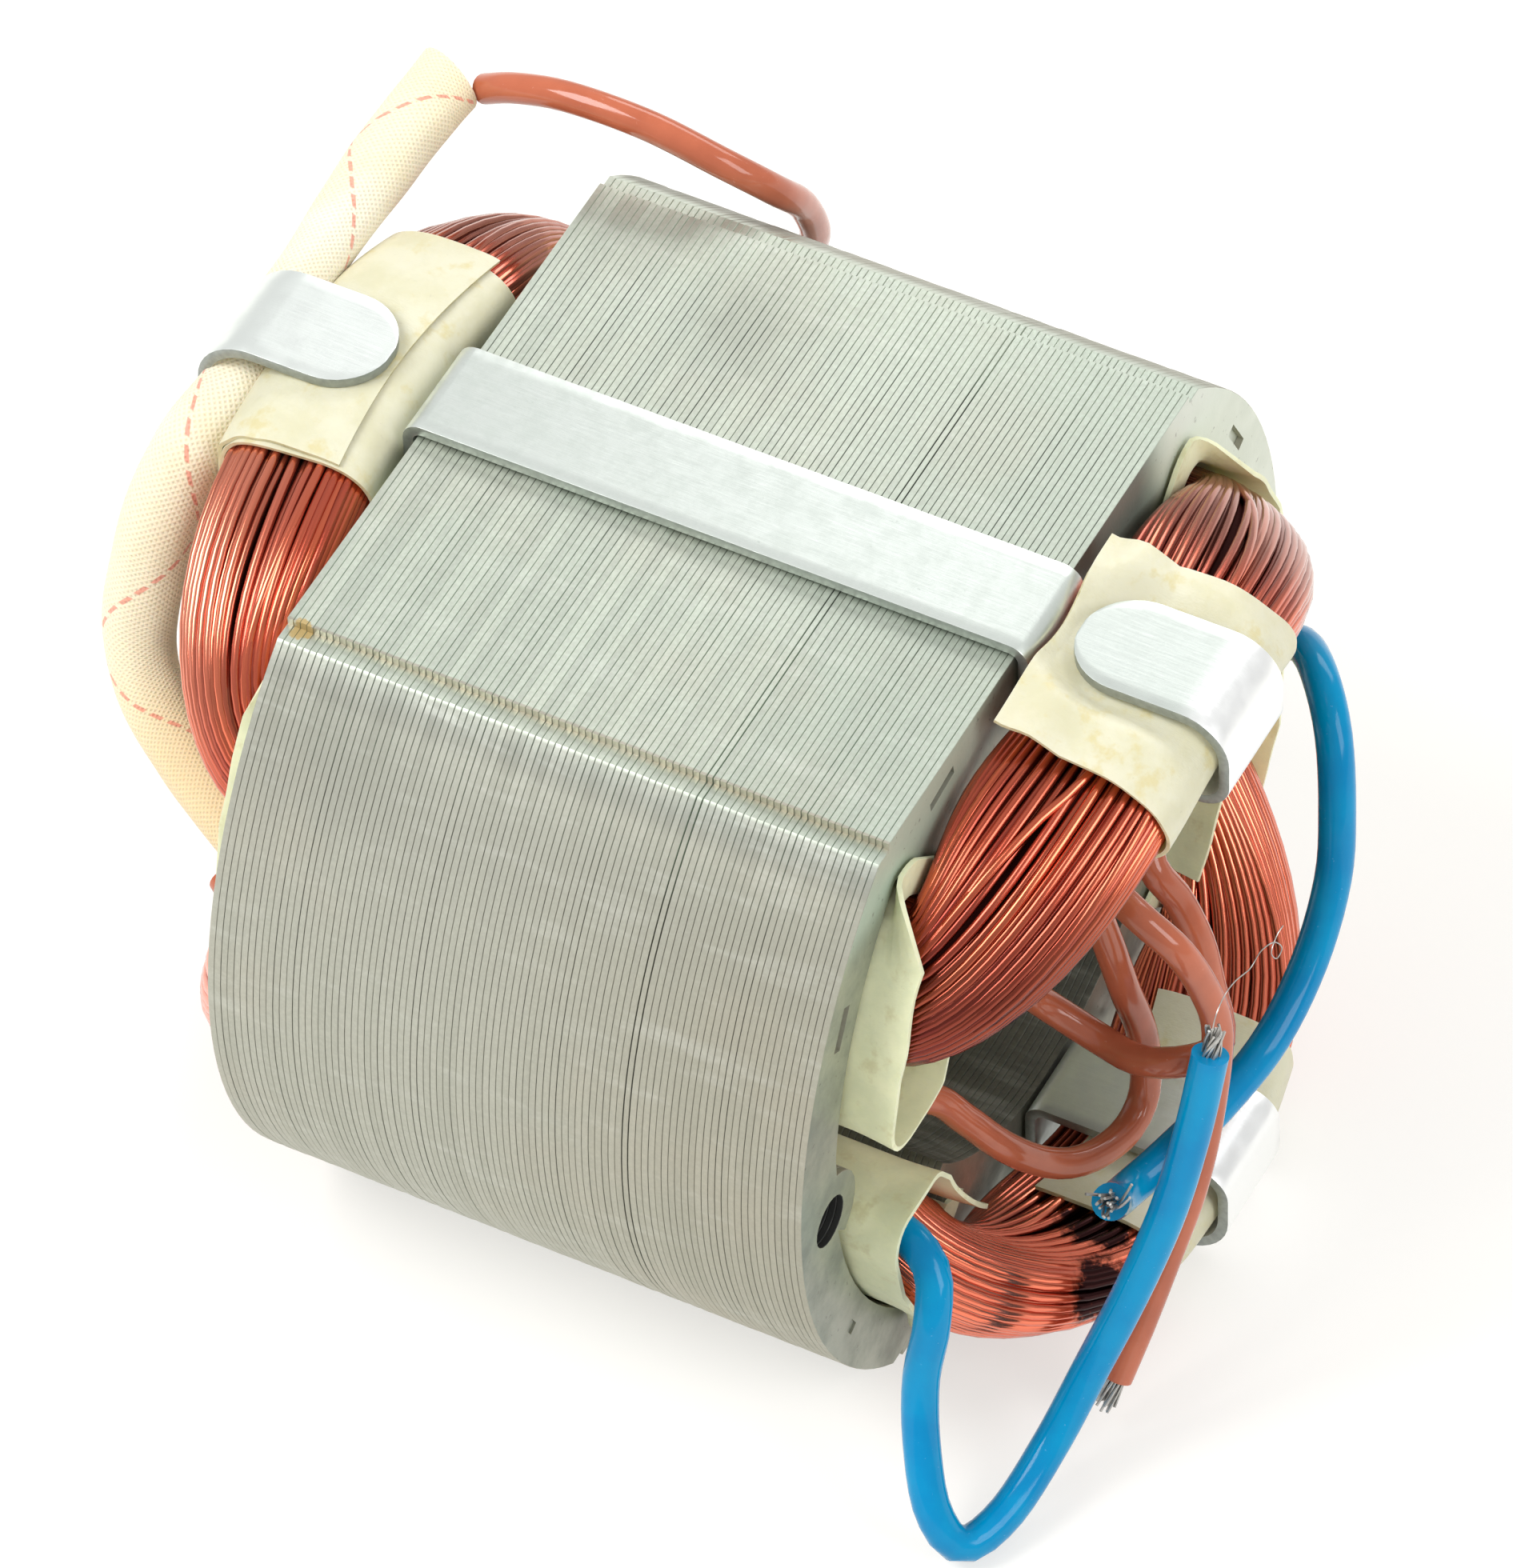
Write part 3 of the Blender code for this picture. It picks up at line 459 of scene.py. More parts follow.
# %% Bare strands at the leads' ends
STRANDS = 19
STRAND_RADIUS = 0.11 * MM
STRAND_STEPS = 8
STRAND_ROOT = 0.4 * MM
BUNDLE_RADIUS = 0.62 * MM
GOLDEN_TURN = 2.4
STRAND_LEAN = 0.7
HAIR_RADIUS = 0.045 * MM
HAIR_ROUTE = (
    (41.8, -13.8, 8.0), (41.9, -13.2, 10.0), (41.8, -11.6, 10.4), (41.6, -9.6, 9.6), (41.7, -7.6, 8.8),
    (41.6, -5.8, 8.6), (41.9, -4.4, 8.2), (42.3, -4.0, 7.4), (42.2, -4.6, 6.9), (41.8, -4.6, 7.3),
    (41.7, -3.6, 7.9), (41.8, -2.8, 8.2),
)


def wires_mesh(name, lines, radius, smoothness=1, cyclic=False):
    """Thin round wires along lines of points, as one mesh."""
    return converted(new_object(name, wire_curve(name, lines, radius, smoothness, cyclic)))


def strand_lines(line, length, twist, splay):
    """Lines of a twisted bundle that carries on from a lead's end."""
    way = (line[-1] - line[-4]).normalized()
    side = way.orthogonal().normalized()
    other = way.cross(side)
    lines = []
    for i in range(STRANDS):
        ring = math.sqrt((i + 0.5) / STRANDS)
        angle = i * GOLDEN_TURN
        reach = length * dice.uniform(0.75, 1.0)
        stray = dice.uniform(0.2, 1.0) * splay
        lean = side * dice.uniform(-1, 1) + other * dice.uniform(-1, 1)
        lean = lean * splay * BUNDLE_RADIUS * STRAND_LEAN
        own_twist = twist * dice.uniform(0.2, 1.4)
        points = []
        for step in range(STRAND_STEPS + 1):
            t = step / STRAND_STEPS
            spread = BUNDLE_RADIUS * ring * (1 + stray * t * t)
            turn = angle + own_twist * t
            away = side * (math.cos(turn) * spread) + other * (math.sin(turn) * spread) + lean * t * t
            points.append(line[-1] + way * (reach * t - STRAND_ROOT) + away)
        lines.append(points)
    return lines


def tinned_finish():
    made, shader = start_finish("tinned_strands")
    point = piece_point(made)
    dull = cloud(made, point, 0.7 * MM, 4.0)
    fill(made, shader, Base_Color=blend_colour(made, dull, (0.62, 0.62, 0.60), (0.36, 0.34, 0.31)))
    fill(made, shader, Metallic=0.85, Roughness=fade(made, dull, 0.3, 0.7, 0.28, 0.5))
    return made


tinned = tinned_finish()
for name, length, twist, splay in (
    ("brown_lead", 3.0 * MM, 1.1, 0.15),
    ("blue_lead_a", 2.7 * MM, 0.9, 1.5),
    ("blue_lead_b", 2.8 * MM, 1.6, 0.25),
):
    lines = strand_lines(cords[name][1], length, twist, splay)
    bare_end = wires_mesh(name + "_bare_end", lines, STRAND_RADIUS)
    if name == "blue_lead_b":
        hair = wires_mesh("hair", [smooth_route(in_frame(HAIR_ROUTE), 6)], HAIR_RADIUS)
        join([bare_end, hair])
    settle(bare_end, tinned, "tinned_strands", name + "_strands", smooth_angle=60)

# %% [markdown]
# The glass sleeve is a soft braided tube that covers the joint between a lead and the coil. It is a
# closed wall along its route, a little flat, pinched where the clip's tab holds it, and cut slantwise at
# its mouth where the brown link goes in. It gets its own UV map, once round and metres along, so that the
# braid and the red tracer threads follow the tube through its bends. A short list says how wide and how
# high it is on its way, because a soft tube spreads where nothing holds it.

# %% Glass sleeve
SLEEVE_WALL = 0.35 * MM
SLEEVE_ROUND = 48
SLEEVE_PITCH = 0.5 * MM
SLEEVE_PINCH = 0.76
MOUTH_CUT = 1.8 * MM
MOUTH_ROWS = 9
SLEEVE_WAVE = 0.04

# Place along the sleeve, its width across and its height, all in mm
SLEEVE_SHAPE = (
    (0, 4.7, 3.6), (9, 4.5, 3.6), (18, 3.8, 3.3), (24, 4.0, 3.1), (30, 4.0, 3.1), (36, 4.5, 3.7),
    (42, 5.0, 3.8), (48, 5.0, 3.7), (54, 4.4, 3.6), (60, 3.8, 3.5), (70, 3.6, 3.4),
)


def ease(value, low, high):
    """0 below the low mark, 1 above the high one, and a smooth step between them."""
    t = min(max((value - low) / (high - low), 0.0), 1.0)
    return t * t * (3 - 2 * t)


def between(stations, place):
    """Values read between the nearest two stations, eased so that no corner shows."""
    for low, high in zip(stations, stations[1:]):
        if place <= high[0]:
            t = ease(place, low[0], high[0])
            return [a + (b - a) * t for a, b in zip(low[1:], high[1:])]
    return list(stations[-1][1:])


def sleeve_rows(line):
    """Rings of the sleeve's outside, with the way along kept even from ring to ring."""
    rows = []
    side = Vector((1, 0, 0))
    for i, place in enumerate(line):
        way = (line[min(i + 1, len(line) - 1)] - line[max(i - 1, 0)]).normalized()
        side = (side - way * side.dot(way)).normalized()
        up = way.cross(side)
        wave = 1 + SLEEVE_WAVE * noise.noise(Vector((place.y * 220, place.z * 220, 3.1)))
        width, height = between(SLEEVE_SHAPE, i * SLEEVE_PITCH / MM)
        wide = width * MM / 2 * wave
        high = height * MM / 2 / wave
        ring = []
        for k in range(SLEEVE_ROUND):
            turn = 2 * math.pi * k / SLEEVE_ROUND
            across, upright = math.cos(turn), math.sin(turn)
            ripple = 1 + SLEEVE_WAVE * noise.noise(Vector((across * 2, upright * 2, i * 0.09)))
            mouth = MOUTH_CUT * max(1 - i / MOUTH_ROWS, 0.0) * (0.5 + 0.5 * across)
            point = place + side * (across * wide * ripple) + up * (upright * high * ripple)
            ring.append(point + way * mouth)
        rows.append(ring)
    return rows


def map_round_and_along(obj, count, along):
    """A UV map for rows of points round a tube: u once round, v metres along."""
    layer = obj.data.uv_layers.new(name="UVMap")
    for face in obj.data.polygons:
        columns = [obj.data.loops[i].vertex_index % count for i in face.loop_indices]
        wraps = max(columns) - min(columns) > 1
        for i, column in zip(face.loop_indices, columns):
            row = obj.data.loops[i].vertex_index // count
            u = count if wraps and column == 0 else column
            layer.data[i].uv = (u / count, along[row])


sleeve_line = smooth_route(in_frame(SLEEVE_ROUTE))
sleeve_length = line_length(sleeve_line)
sleeve_line = evenly(sleeve_line, round(sleeve_length / SLEEVE_PITCH))
sleeve = sheet_through("glass_sleeve_braid", sleeve_rows(sleeve_line), closed=True)
map_round_and_along(sleeve, SLEEVE_ROUND, [i * SLEEVE_PITCH for i in range(len(sleeve_line))])
modify(sleeve, "SOLIDIFY", thickness=SLEEVE_WALL, offset=1.0)
print("sleeve length in mm:", round(sleeve_length / MM, 1))

# %% [markdown]
# The braid is two sets of glass yarns that cross. Two waves along the map's diagonals give the yarns, and
# the higher of the two lies on top, with painted shade in the hollows between them. Two thin red tracers
# wind in opposite directions, woven in and out, so each shows as a line of dashes. The glass has yellowed
# most at its lower end, where its colour also holds painted light, the warm glow of light through the glass.

# %% Finish of the sleeve
BRAID_ROUND = 14.0
BRAID_LENGTH = 0.85 * MM
TRACER_PITCH = 21 * MM
TRACER_WIDTH = 0.009
TRACER_STARTS = {1.0: 0.608, -1.0: 0.512}
DASH_LENGTH = 1.25 * MM
GLASS = ((0.98, 0.86, 0.66), (0.95, 0.78, 0.53))
TOP_GLASS = (0.93, 0.77, 0.50)
MIDDLE_GLASS = (1.0, 0.82, 0.55)
# Yellowed glass, with painted warm light glowing through it
LOW_GLASS_AND_GLOW = (0.90, 0.62, 0.33)
# Painted shade between the yarns
SHADE_BETWEEN_YARNS = (0.74, 0.55, 0.34)
TRACER_RED = (0.82, 0.13, 0.10)


def tracer(made, round_part, along, direction):
    """1 on the visible dashes of a thread that winds round the sleeve."""
    start = TRACER_STARTS[direction]
    turns = sums(made, "MULTIPLY_ADD", along, direction / TRACER_PITCH, start)
    apart = sums(made, "FRACT", sums(made, "ADD", round_part, turns))
    off = sums(made, "ABSOLUTE", sums(made, "SUBTRACT", apart, 0.5))
    line = fade(made, off, TRACER_WIDTH, TRACER_WIDTH * 1.7, 1.0, 0.0)
    dash = sums(made, "FRACT", sums(made, "MULTIPLY_ADD", along, 1 / DASH_LENGTH, start))
    return product(made, line, fade(made, dash, 0.6, 0.72, 1.0, 0.0))


def sleeve_finish():
    made, shader = start_finish("woven_glass")
    round_part, along, _ = split(made, add_node(made, "ShaderNodeTexCoord").outputs["UV"])
    yarns = []
    for direction in (1.0, -1.0):
        turns = product(made, round_part, BRAID_ROUND)
        phase = sums(made, "MULTIPLY_ADD", along, direction / BRAID_LENGTH, turns)
        wave = sums(made, "SINE", product(made, phase, 2 * math.pi))
        yarns.append(sums(made, "ABSOLUTE", wave))
    weave = sums(made, "MAXIMUM", *yarns)
    point = piece_point(made)
    soil = fade(made, cloud(made, point, 7 * MM, 4.0), 0.4, 0.75)
    red = sums(made, "MAXIMUM", *(tracer(made, round_part, along, way) for way in (1.0, -1.0)))
    colour = lay_over(
        made, GLASS[0],
        (soil, GLASS[1]),
        (fade(made, along, 6 * MM, 18 * MM, 0.6, 0.0), TOP_GLASS),
        (fade(made, along, 34 * MM, 44 * MM, 0.0, 0.8), MIDDLE_GLASS),
        # The lower end: yellowed glass and painted warm light through it
        (fade(made, along, 50 * MM, 62 * MM, 0.0, 0.8), LOW_GLASS_AND_GLOW),
        # Painted shade in the hollows between the yarns
        (fade(made, weave, 0.3, 0.95, 0.28, 0.0), SHADE_BETWEEN_YARNS),
        (product(made, red, 0.65), TRACER_RED),
    )
    fill(made, shader, Base_Color=colour, Roughness=0.75, Sheen_Weight=0.25, Sheen_Roughness=0.5)
    depths = (2.0 * MM, 1.2 * MM, 0.7 * MM)
    fill(made, shader, Subsurface_Weight=0.3, Subsurface_Radius=depths, Subsurface_Scale=1.0)
    rough = bumps(made, cloud(made, point, 0.3 * MM, 2.0), 0.03 * MM)
    fill(made, shader, Normal=bumps(made, weave, 0.09 * MM, rough))
    return made


woven_glass = sleeve_finish()
settle(sleeve, woven_glass, "woven_glass", "glass_sleeve", smooth_angle=60)

# %% [markdown]
# Each cord's length is worked out along its line. Each leaves the stator at the first point of its route,
# and the sleeve at its last. The free ones end bare, and the link and the sleeve go back into the object.

for name, far_end, along_with in (
    ("brown_lead", "bare", ["brown_lead_bare_end"]),
    ("brown_link", "object", []),
    ("blue_lead_a", "bare", ["blue_lead_a_bare_end"]),
    ("blue_lead_b", "bare", ["blue_lead_b_bare_end"]),
):
    cord, line, diameter = cords[name]
    length = round(line_length(line), 4)
print("cords declared:", len(cords) + 1)

# %% [markdown]
# The core is ninety stamped sheets of steel, 0.5 mm each, clinched into a block. The dark lines round it
# are real gaps between the sheets' chamfered edges, so each sheet is a plate of its own. One sheet is
# drawn as a flat filled curve with its holes, given a thickness and a small chamfer, and made a mesh.
# Then it is copied along the bore, each copy up to two hundredths of a millimetre off, as in a real
# stack.

# %% Outline of one sheet
STACK_RADIUS = 36 * MM
FLAT_HALF_WIDTH = 22.2 * MM
LEDGE_HALF_WIDTH = 23.6 * MM
LEDGE_DROP = 0.6 * MM
BORE_RADIUS = 20.5 * MM
POLE_BACK_RADIUS = 22 * MM
POLE_TIP_ANGLE = math.radians(50)
POLE_SIDE_ANGLE = math.radians(42)
POLE_NECK_ANGLE = POLE_SIDE_ANGLE + math.radians(1.5)
SLOT_WALL_ANGLE = POLE_SIDE_ANGLE + math.radians(2)
SLOT_OUTER_RADIUS = 31 * MM
SLOT_END_HEIGHT = 3.8 * MM
LINER_CORNER = 1.2 * MM
SCREW_CENTRE = Vector((-31.9 * MM, -1.6 * MM))
SCREW_HOLE_RADIUS = 1.9 * MM
SCREW_BOSS_RADIUS = 3.7 * MM
BOSS_TURN = 100
SIDE_STEPS = 16


def outer_outline():
    """Two flats with a ledge along each edge, and two round sides, drawn in a little towards the ledges."""
    ledge = FLAT_HEIGHT - LEDGE_DROP
    corner = math.atan2(LEDGE_HALF_WIDTH, ledge)
    draw_in = STACK_RADIUS - math.hypot(LEDGE_HALF_WIDTH, ledge)
    quarter = [(0.0, FLAT_HEIGHT), (FLAT_HALF_WIDTH, FLAT_HEIGHT), (FLAT_HALF_WIDTH, ledge)]
    for i in range(SIDE_STEPS + 1):
        t = i / SIDE_STEPS
        quarter.append(polar(STACK_RADIUS - draw_in * (1 - t) ** 2, corner + (math.pi / 2 - corner) * t))
    right = quarter + [(y, -z) for y, z in reversed(quarter[:-1])]
    return right + [(-y, z) for y, z in reversed(right[1:-1])]


def boss_arc(steps=14):
    """The round wall of the near screw boss, where it stands inside the slots' outer wall."""
    points = []
    for i in range(steps + 1):
        turn = math.radians(BOSS_TURN - 2 * BOSS_TURN * i / steps)
        points.append(SCREW_CENTRE + SCREW_BOSS_RADIUS * Vector((math.cos(turn), math.sin(turn))))
    return [tuple(p) for p in points if p.length < SLOT_OUTER_RADIUS]


def inner_outline():
    """Two pole faces, four slots and two screw bosses, as one loop."""
    last = math.acos(SLOT_END_HEIGHT / SLOT_OUTER_RADIUS)
    side = [
        polar(BORE_RADIUS, POLE_TIP_ANGLE),
        polar(POLE_BACK_RADIUS, POLE_TIP_ANGLE),
        polar(POLE_BACK_RADIUS, POLE_NECK_ANGLE),
        polar(SLOT_OUTER_RADIUS - LINER_CORNER, POLE_SIDE_ANGLE),
    ]
    wall = arc(SLOT_OUTER_RADIUS, SLOT_WALL_ANGLE, last, 10)
    upper = [(-y, z) for y, z in side + wall]
    lower = [(y, -z) for y, z in reversed(upper)]
    near = arc(BORE_RADIUS, POLE_TIP_ANGLE, -POLE_TIP_ANGLE, 26)[:-1] + upper + boss_arc() + lower
    return near + [(-y, -z) for y, z in near]


def hole_outline(centre, radius, steps=20):
    turns = [2 * math.pi * i / steps for i in range(steps)]
    return [(centre[0] + radius * math.cos(t), centre[1] + radius * math.sin(t)) for t in turns]


outlines = [outer_outline(), inner_outline()]
outlines += [hole_outline(SCREW_CENTRE, SCREW_HOLE_RADIUS), hole_outline(-SCREW_CENTRE, SCREW_HOLE_RADIUS)]
print("points in one sheet's outlines:", sum(len(o) for o in outlines))

# %% One sheet of the core
SHEETS = 90
SHEET_PITCH = 2 * HALF_STACK / SHEETS
SHEET_THICKNESS = 0.468 * MM
EDGE_CHAMFER = 0.034 * MM


def flat_plate(name, loops, thickness, edge):
    """A plate across X through the middle of the core, with its outlines' edges chamfered."""
    curve = bpy.data.curves.new(name, "CURVE")
    curve.dimensions = "2D"
    curve.fill_mode = "BOTH"
    curve.extrude = thickness / 2 - edge
    curve.bevel_depth = edge
    curve.bevel_resolution = 0
    curve.offset = -edge
    for loop in loops:
        add_line(curve, [(y, z, 0.0) for y, z in loop], cyclic=True)
    obj = converted(new_object(name, curve))
    obj.rotation_euler = (math.pi / 2, 0.0, math.pi / 2)
    bpy.ops.object.transform_apply(location=True, rotation=True, scale=True)
    turn_out(obj)
    return obj


sheet = flat_plate("core_sheet", outlines, SHEET_THICKNESS, EDGE_CHAMFER)
print("faces of one sheet:", len(sheet.data.polygons))

# %% [markdown]
# The end sheets carry the clinch marks: short slots where a punch has pressed all the sheets into each
# other. They are cut from a copy of the sheet with four small blocks, and the front sheet also gets a
# gash.

# %% End sheets with clinch marks
CLINCH_RADIUS = 33.3 * MM
CLINCH_ANGLE = math.radians(62)
CLINCH_SIZE = (1.2 * MM, 0.9 * MM, 3.4 * MM)
SHALLOW_CLINCH_SIZE = (0.3 * MM, 0.9 * MM, 1.2 * MM)
GASH_PLACE = (-14.6 * MM, 24.5 * MM)
GASH_SIZE = (0.9 * MM, 3.4 * MM, 0.8 * MM)
GASH_TILT = math.radians(8)


def cut_block(plate, place, size, tilt=0.0):
    """Cuts a small block out of a plate."""
    bpy.ops.mesh.primitive_cube_add(size=1.0, location=place, rotation=(tilt, 0, 0))
    block = bpy.context.active_object
    block.scale = size
    bpy.ops.object.transform_apply(location=True, rotation=True, scale=True)
    modify(plate, "BOOLEAN", object=block, operation="DIFFERENCE", solver="EXACT")
    bpy.data.objects.remove(block)


def punched(front):
    """An end sheet with its four clinch slots. The front one has a shallow slot and a gash near its flat."""
    plate = new_object("end_sheet", sheet.data.copy())
    if front:
        cut_block(plate, (0.0, *GASH_PLACE), GASH_SIZE, GASH_TILT)
    for side in (-1, 1):
        for level in (-1, 1):
            shallow = front and side < 0 and level < 0
            y, z = polar(CLINCH_RADIUS, CLINCH_ANGLE)
            tilt = side * level * (math.pi / 2 - CLINCH_ANGLE)
            place = (SHEET_THICKNESS / 2 if shallow else 0.0, side * y, level * z)
            cut_block(plate, place, SHALLOW_CLINCH_SIZE if shallow else CLINCH_SIZE, tilt)
    return plate


end_sheets = {0: punched(False), SHEETS - 1: punched(True)}
print("faces of the front end sheet:", len(end_sheets[SHEETS - 1].data.polygons))

# %% The whole core
# How much thinner the sheets beside a wide gap are drawn, and how far a sheet may slip across and up, in
# mm
WIDE_GAPS = {13: 0.05, 31: 0.04, 52: 0.05, 63: 0.2, 77: 0.05}
SLIP_ACROSS, SLIP_UP = 0.02, 0.015
copies = []
for i in range(SHEETS):
    source = end_sheets.get(i, sheet)
    x = -HALF_STACK + SHEET_PITCH * (i + 0.5)
    across = dice.uniform(-SLIP_ACROSS, SLIP_ACROSS) * MM
    place = Vector((x, across, AXIS_HEIGHT + dice.uniform(-SLIP_UP, SLIP_UP) * MM))
    plate = new_object(f"sheet_{i}", source.data.copy())
    plate.data.transform(Matrix.Scale(1 - WIDE_GAPS.get(i, 0.0), 4, Vector((1, 0, 0))))
    plate.data.transform(Matrix.Translation(place))
    copies.append(plate)
core = join(copies)
core.name = "core_sheets"
for spare in (sheet, *end_sheets.values()):
    bpy.data.objects.remove(spare)
print("core triangles:", sum(len(f.vertices) - 2 for f in core.data.polygons))

# %% [markdown]
# Stamped steel shows two surfaces. The flat faces keep the mill's grey-green oxide, with painted shade
# on the end faces behind the upper coils and painted light on their far side. The cut edges are bright
# and burnished, a little different on every sheet, with fine scratches along the stack, brown tints where
# the oil has dried, a few rust spots and a drop of golden glue on the ledge. The sheet's number comes from
# the X coordinate, so each edge gets its own tint. The round sides are darker and browner below the
# ledge, with painted shade along their upper part, most at the left, and just under the near ledge. The
# bore and the screw holes are painted darkest, as painted shade, because little light gets in.

# %% Finish of the core
FLAT_STEEL = ((0.595, 0.655, 0.560), (0.630, 0.690, 0.590))
RIGHT_STEEL = (0.50, 0.565, 0.48)
ROUND_SIDE_STEEL = ((0.50, 0.495, 0.425), (0.445, 0.42, 0.34))
# Painted shade on the upper part of the round sides, most at the left
SHOULDER_SHADE = (0.345, 0.35, 0.30)
# Painted shade in the bore
BORE_SHADE = (0.075, 0.082, 0.070)
# Painted shade just under the near ledge
CREST_SHADE = (0.20, 0.205, 0.18)
DIRTY_RIM = (0.40, 0.31, 0.23)
DRIED_OIL = (0.58, 0.52, 0.42)
SCRATCH = (0.82, 0.84, 0.78)
GRAIN = (0.28, 0.27, 0.23)
RUST = (0.36, 0.17, 0.07)
SMUDGE = (0.36, 0.385, 0.325)
SMUDGE_PLACE = (-7.2 * MM, 14.6 * MM, FLAT_TOP)
SMUDGE_REACH = 8.0 * MM
GLUE = (0.42, 0.31, 0.13)
GLUE_PLACE = (-21.2 * MM, -22.5 * MM, FLAT_TOP - 0.4 * MM)
GLUE_REACH = 2.0 * MM
OXIDE = ((0.40, 0.42, 0.34), (0.26, 0.28, 0.23))
HIGH_OXIDE = (0.43, 0.54, 0.43)
# Painted shade on the end face behind the upper coils, and painted light on its far side
FACE_SHADE_BEHIND_COILS = (0.09, 0.10, 0.09)
FAR_FACE_LIGHT = (0.70, 0.74, 0.65)
SPECK = (0.13, 0.12, 0.10)
# Painted shade inside the screw holes
HOLE_SHADE = (0.035, 0.036, 0.034, 1.0)
HOLE_MARGIN = 0.1 * MM
FACES_ALONG_X = 0.95


def near_place(made, place, reach):
    """1 at a place and 0 beyond a reach from it, on the piece's own coordinates."""
    sockets = {0: piece_point(made), 1: place}
    apart = add_node(made, "ShaderNodeVectorMath", sockets, operation="DISTANCE")
    return fade(made, apart.outputs["Value"], 0.0, reach, 1.0, 0.0)


def blotch(made, place, reach, patch):
    """A cloudy blotch round a place."""
    return product(made, near_place(made, place, reach), cloud(made, piece_point(made), patch))


def steel_by_place(made, own, below_flat):
    """The cut edges' tone: bright on the flats and browner on the round sides, with painted shade along the
    sides' upper part, just under the near ledge and in the bore.
    """
    x, y, z = split(made, piece_point(made))
    # Painted shade along the upper part of the round sides, strongest towards the left
    shoulder = fade(made, z, FLAT_TOP - 12 * MM, FLAT_TOP - 3 * MM)
    shoulder = product(made, shoulder, fade(made, x, -16 * MM, -6 * MM, 0.95, 0.6))
    height = sums(made, "SUBTRACT", z, AXIS_HEIGHT)
    squares = sums(made, "MULTIPLY_ADD", height, height, product(made, y, y))
    # Painted shade in the bore, where little light gets in
    bore_shade = fade(made, sums(made, "POWER", squares, 0.5), 22 * MM, 25 * MM, 0.85, 0.0)
    nearer = product(made, y, -1.0)
    # Painted shade on the near round side just under the ledge
    shade_under_ledge = fade(made, z, FLAT_TOP - 3.0 * MM, FLAT_TOP - 1.3 * MM, 0.0, 0.8)
    beyond = fade(made, nearer, LEDGE_HALF_WIDTH - 0.05 * MM, LEDGE_HALF_WIDTH + 0.25 * MM)
    rim = fade(made, nearer, FLAT_HALF_WIDTH - 0.3 * MM, FLAT_HALF_WIDTH - 0.12 * MM)
    rim_end = fade(made, nearer, FLAT_HALF_WIDTH - 0.05 * MM, FLAT_HALF_WIDTH + 0.5 * MM, 1.0, 0.0)
    top = fade(made, z, FLAT_TOP - 1.0 * MM, FLAT_TOP - 0.8 * MM, 0.0, 0.55)
    round_side = blend_colour(made, fade(made, x, -8 * MM, 20 * MM), *ROUND_SIDE_STEEL)
    return lay_over(
        made, FLAT_STEEL[0],
        (own, FLAT_STEEL[1]),
        (fade(made, x, 2 * MM, 18 * MM, 0.0, 0.75), RIGHT_STEEL),
        (product(made, below_flat, 0.85), round_side),
        (product(made, below_flat, shoulder), SHOULDER_SHADE),
        (bore_shade, BORE_SHADE),
        (product(made, beyond, shade_under_ledge), CREST_SHADE),
        (product(made, product(made, top, rim), rim_end), DIRTY_RIM),
    )


def cut_edge_finish():
    made, shader = start_finish("lamination_edge")
    point = piece_point(made)
    x, _, z = split(made, point)
    number = sums(made, "FLOOR", sums(made, "MULTIPLY_ADD", x, 1 / SHEET_PITCH, 200.0))
    own = add_node(made, "ShaderNodeTexWhiteNoise", {"W": number}, noise_dimensions="1D").outputs["Value"]
    below_flat = fade(made, z, FLAT_TOP - 0.8 * MM, FLAT_TOP - 2.4 * MM)
    oil = cloud(made, point, 16 * MM, 4.0, 0.6)
    scratches = cloud(made, piece_point(made, (1.0, 5.0, 5.0)), 9 * MM, 4.0, 0.6)
    grain = cloud(made, point, 0.35 * MM, 3.0, 0.7)
    rust = fade(made, cloud(made, piece_point(made, (1.0, 0.6, 0.6)), 1.1 * MM, 4.0, 0.6), 0.74, 0.78)
    ends = fade(made, sums(made, "ABSOLUTE", x), 19.5 * MM, 22.2 * MM, 0.06, 1.0)
    glue = fade(made, blotch(made, GLUE_PLACE, GLUE_REACH, 0.9 * MM), 0.3, 0.36)
    steel = lay_over(
        made, steel_by_place(made, own, below_flat),
        (fade(made, oil, 0.48, 0.70, 0.0, 0.2), DRIED_OIL),
        (fade(made, scratches, 0.5, 0.75, 0.0, 0.22), SCRATCH),
        (fade(made, grain, 0.35, 0.7, 0.18, 0.0), GRAIN),
        (product(made, rust, ends), RUST),
        (blotch(made, SMUDGE_PLACE, SMUDGE_REACH, 3.5 * MM), SMUDGE),
        (glue, GLUE),
    )
    fill(made, shader, Base_Color=steel, Metallic=fade(made, glue, 0.0, 1.0, 0.8, 0.0))
    dull = fade(made, sums(made, "ADD", scratches, own), 0.6, 1.5, 0.36, 0.48)
    fill(made, shader, Roughness=sums(made, "MULTIPLY_ADD", below_flat, 0.2, dull))
    fill(made, shader, Normal=bumps(made, grain, 0.012 * MM))
    return made


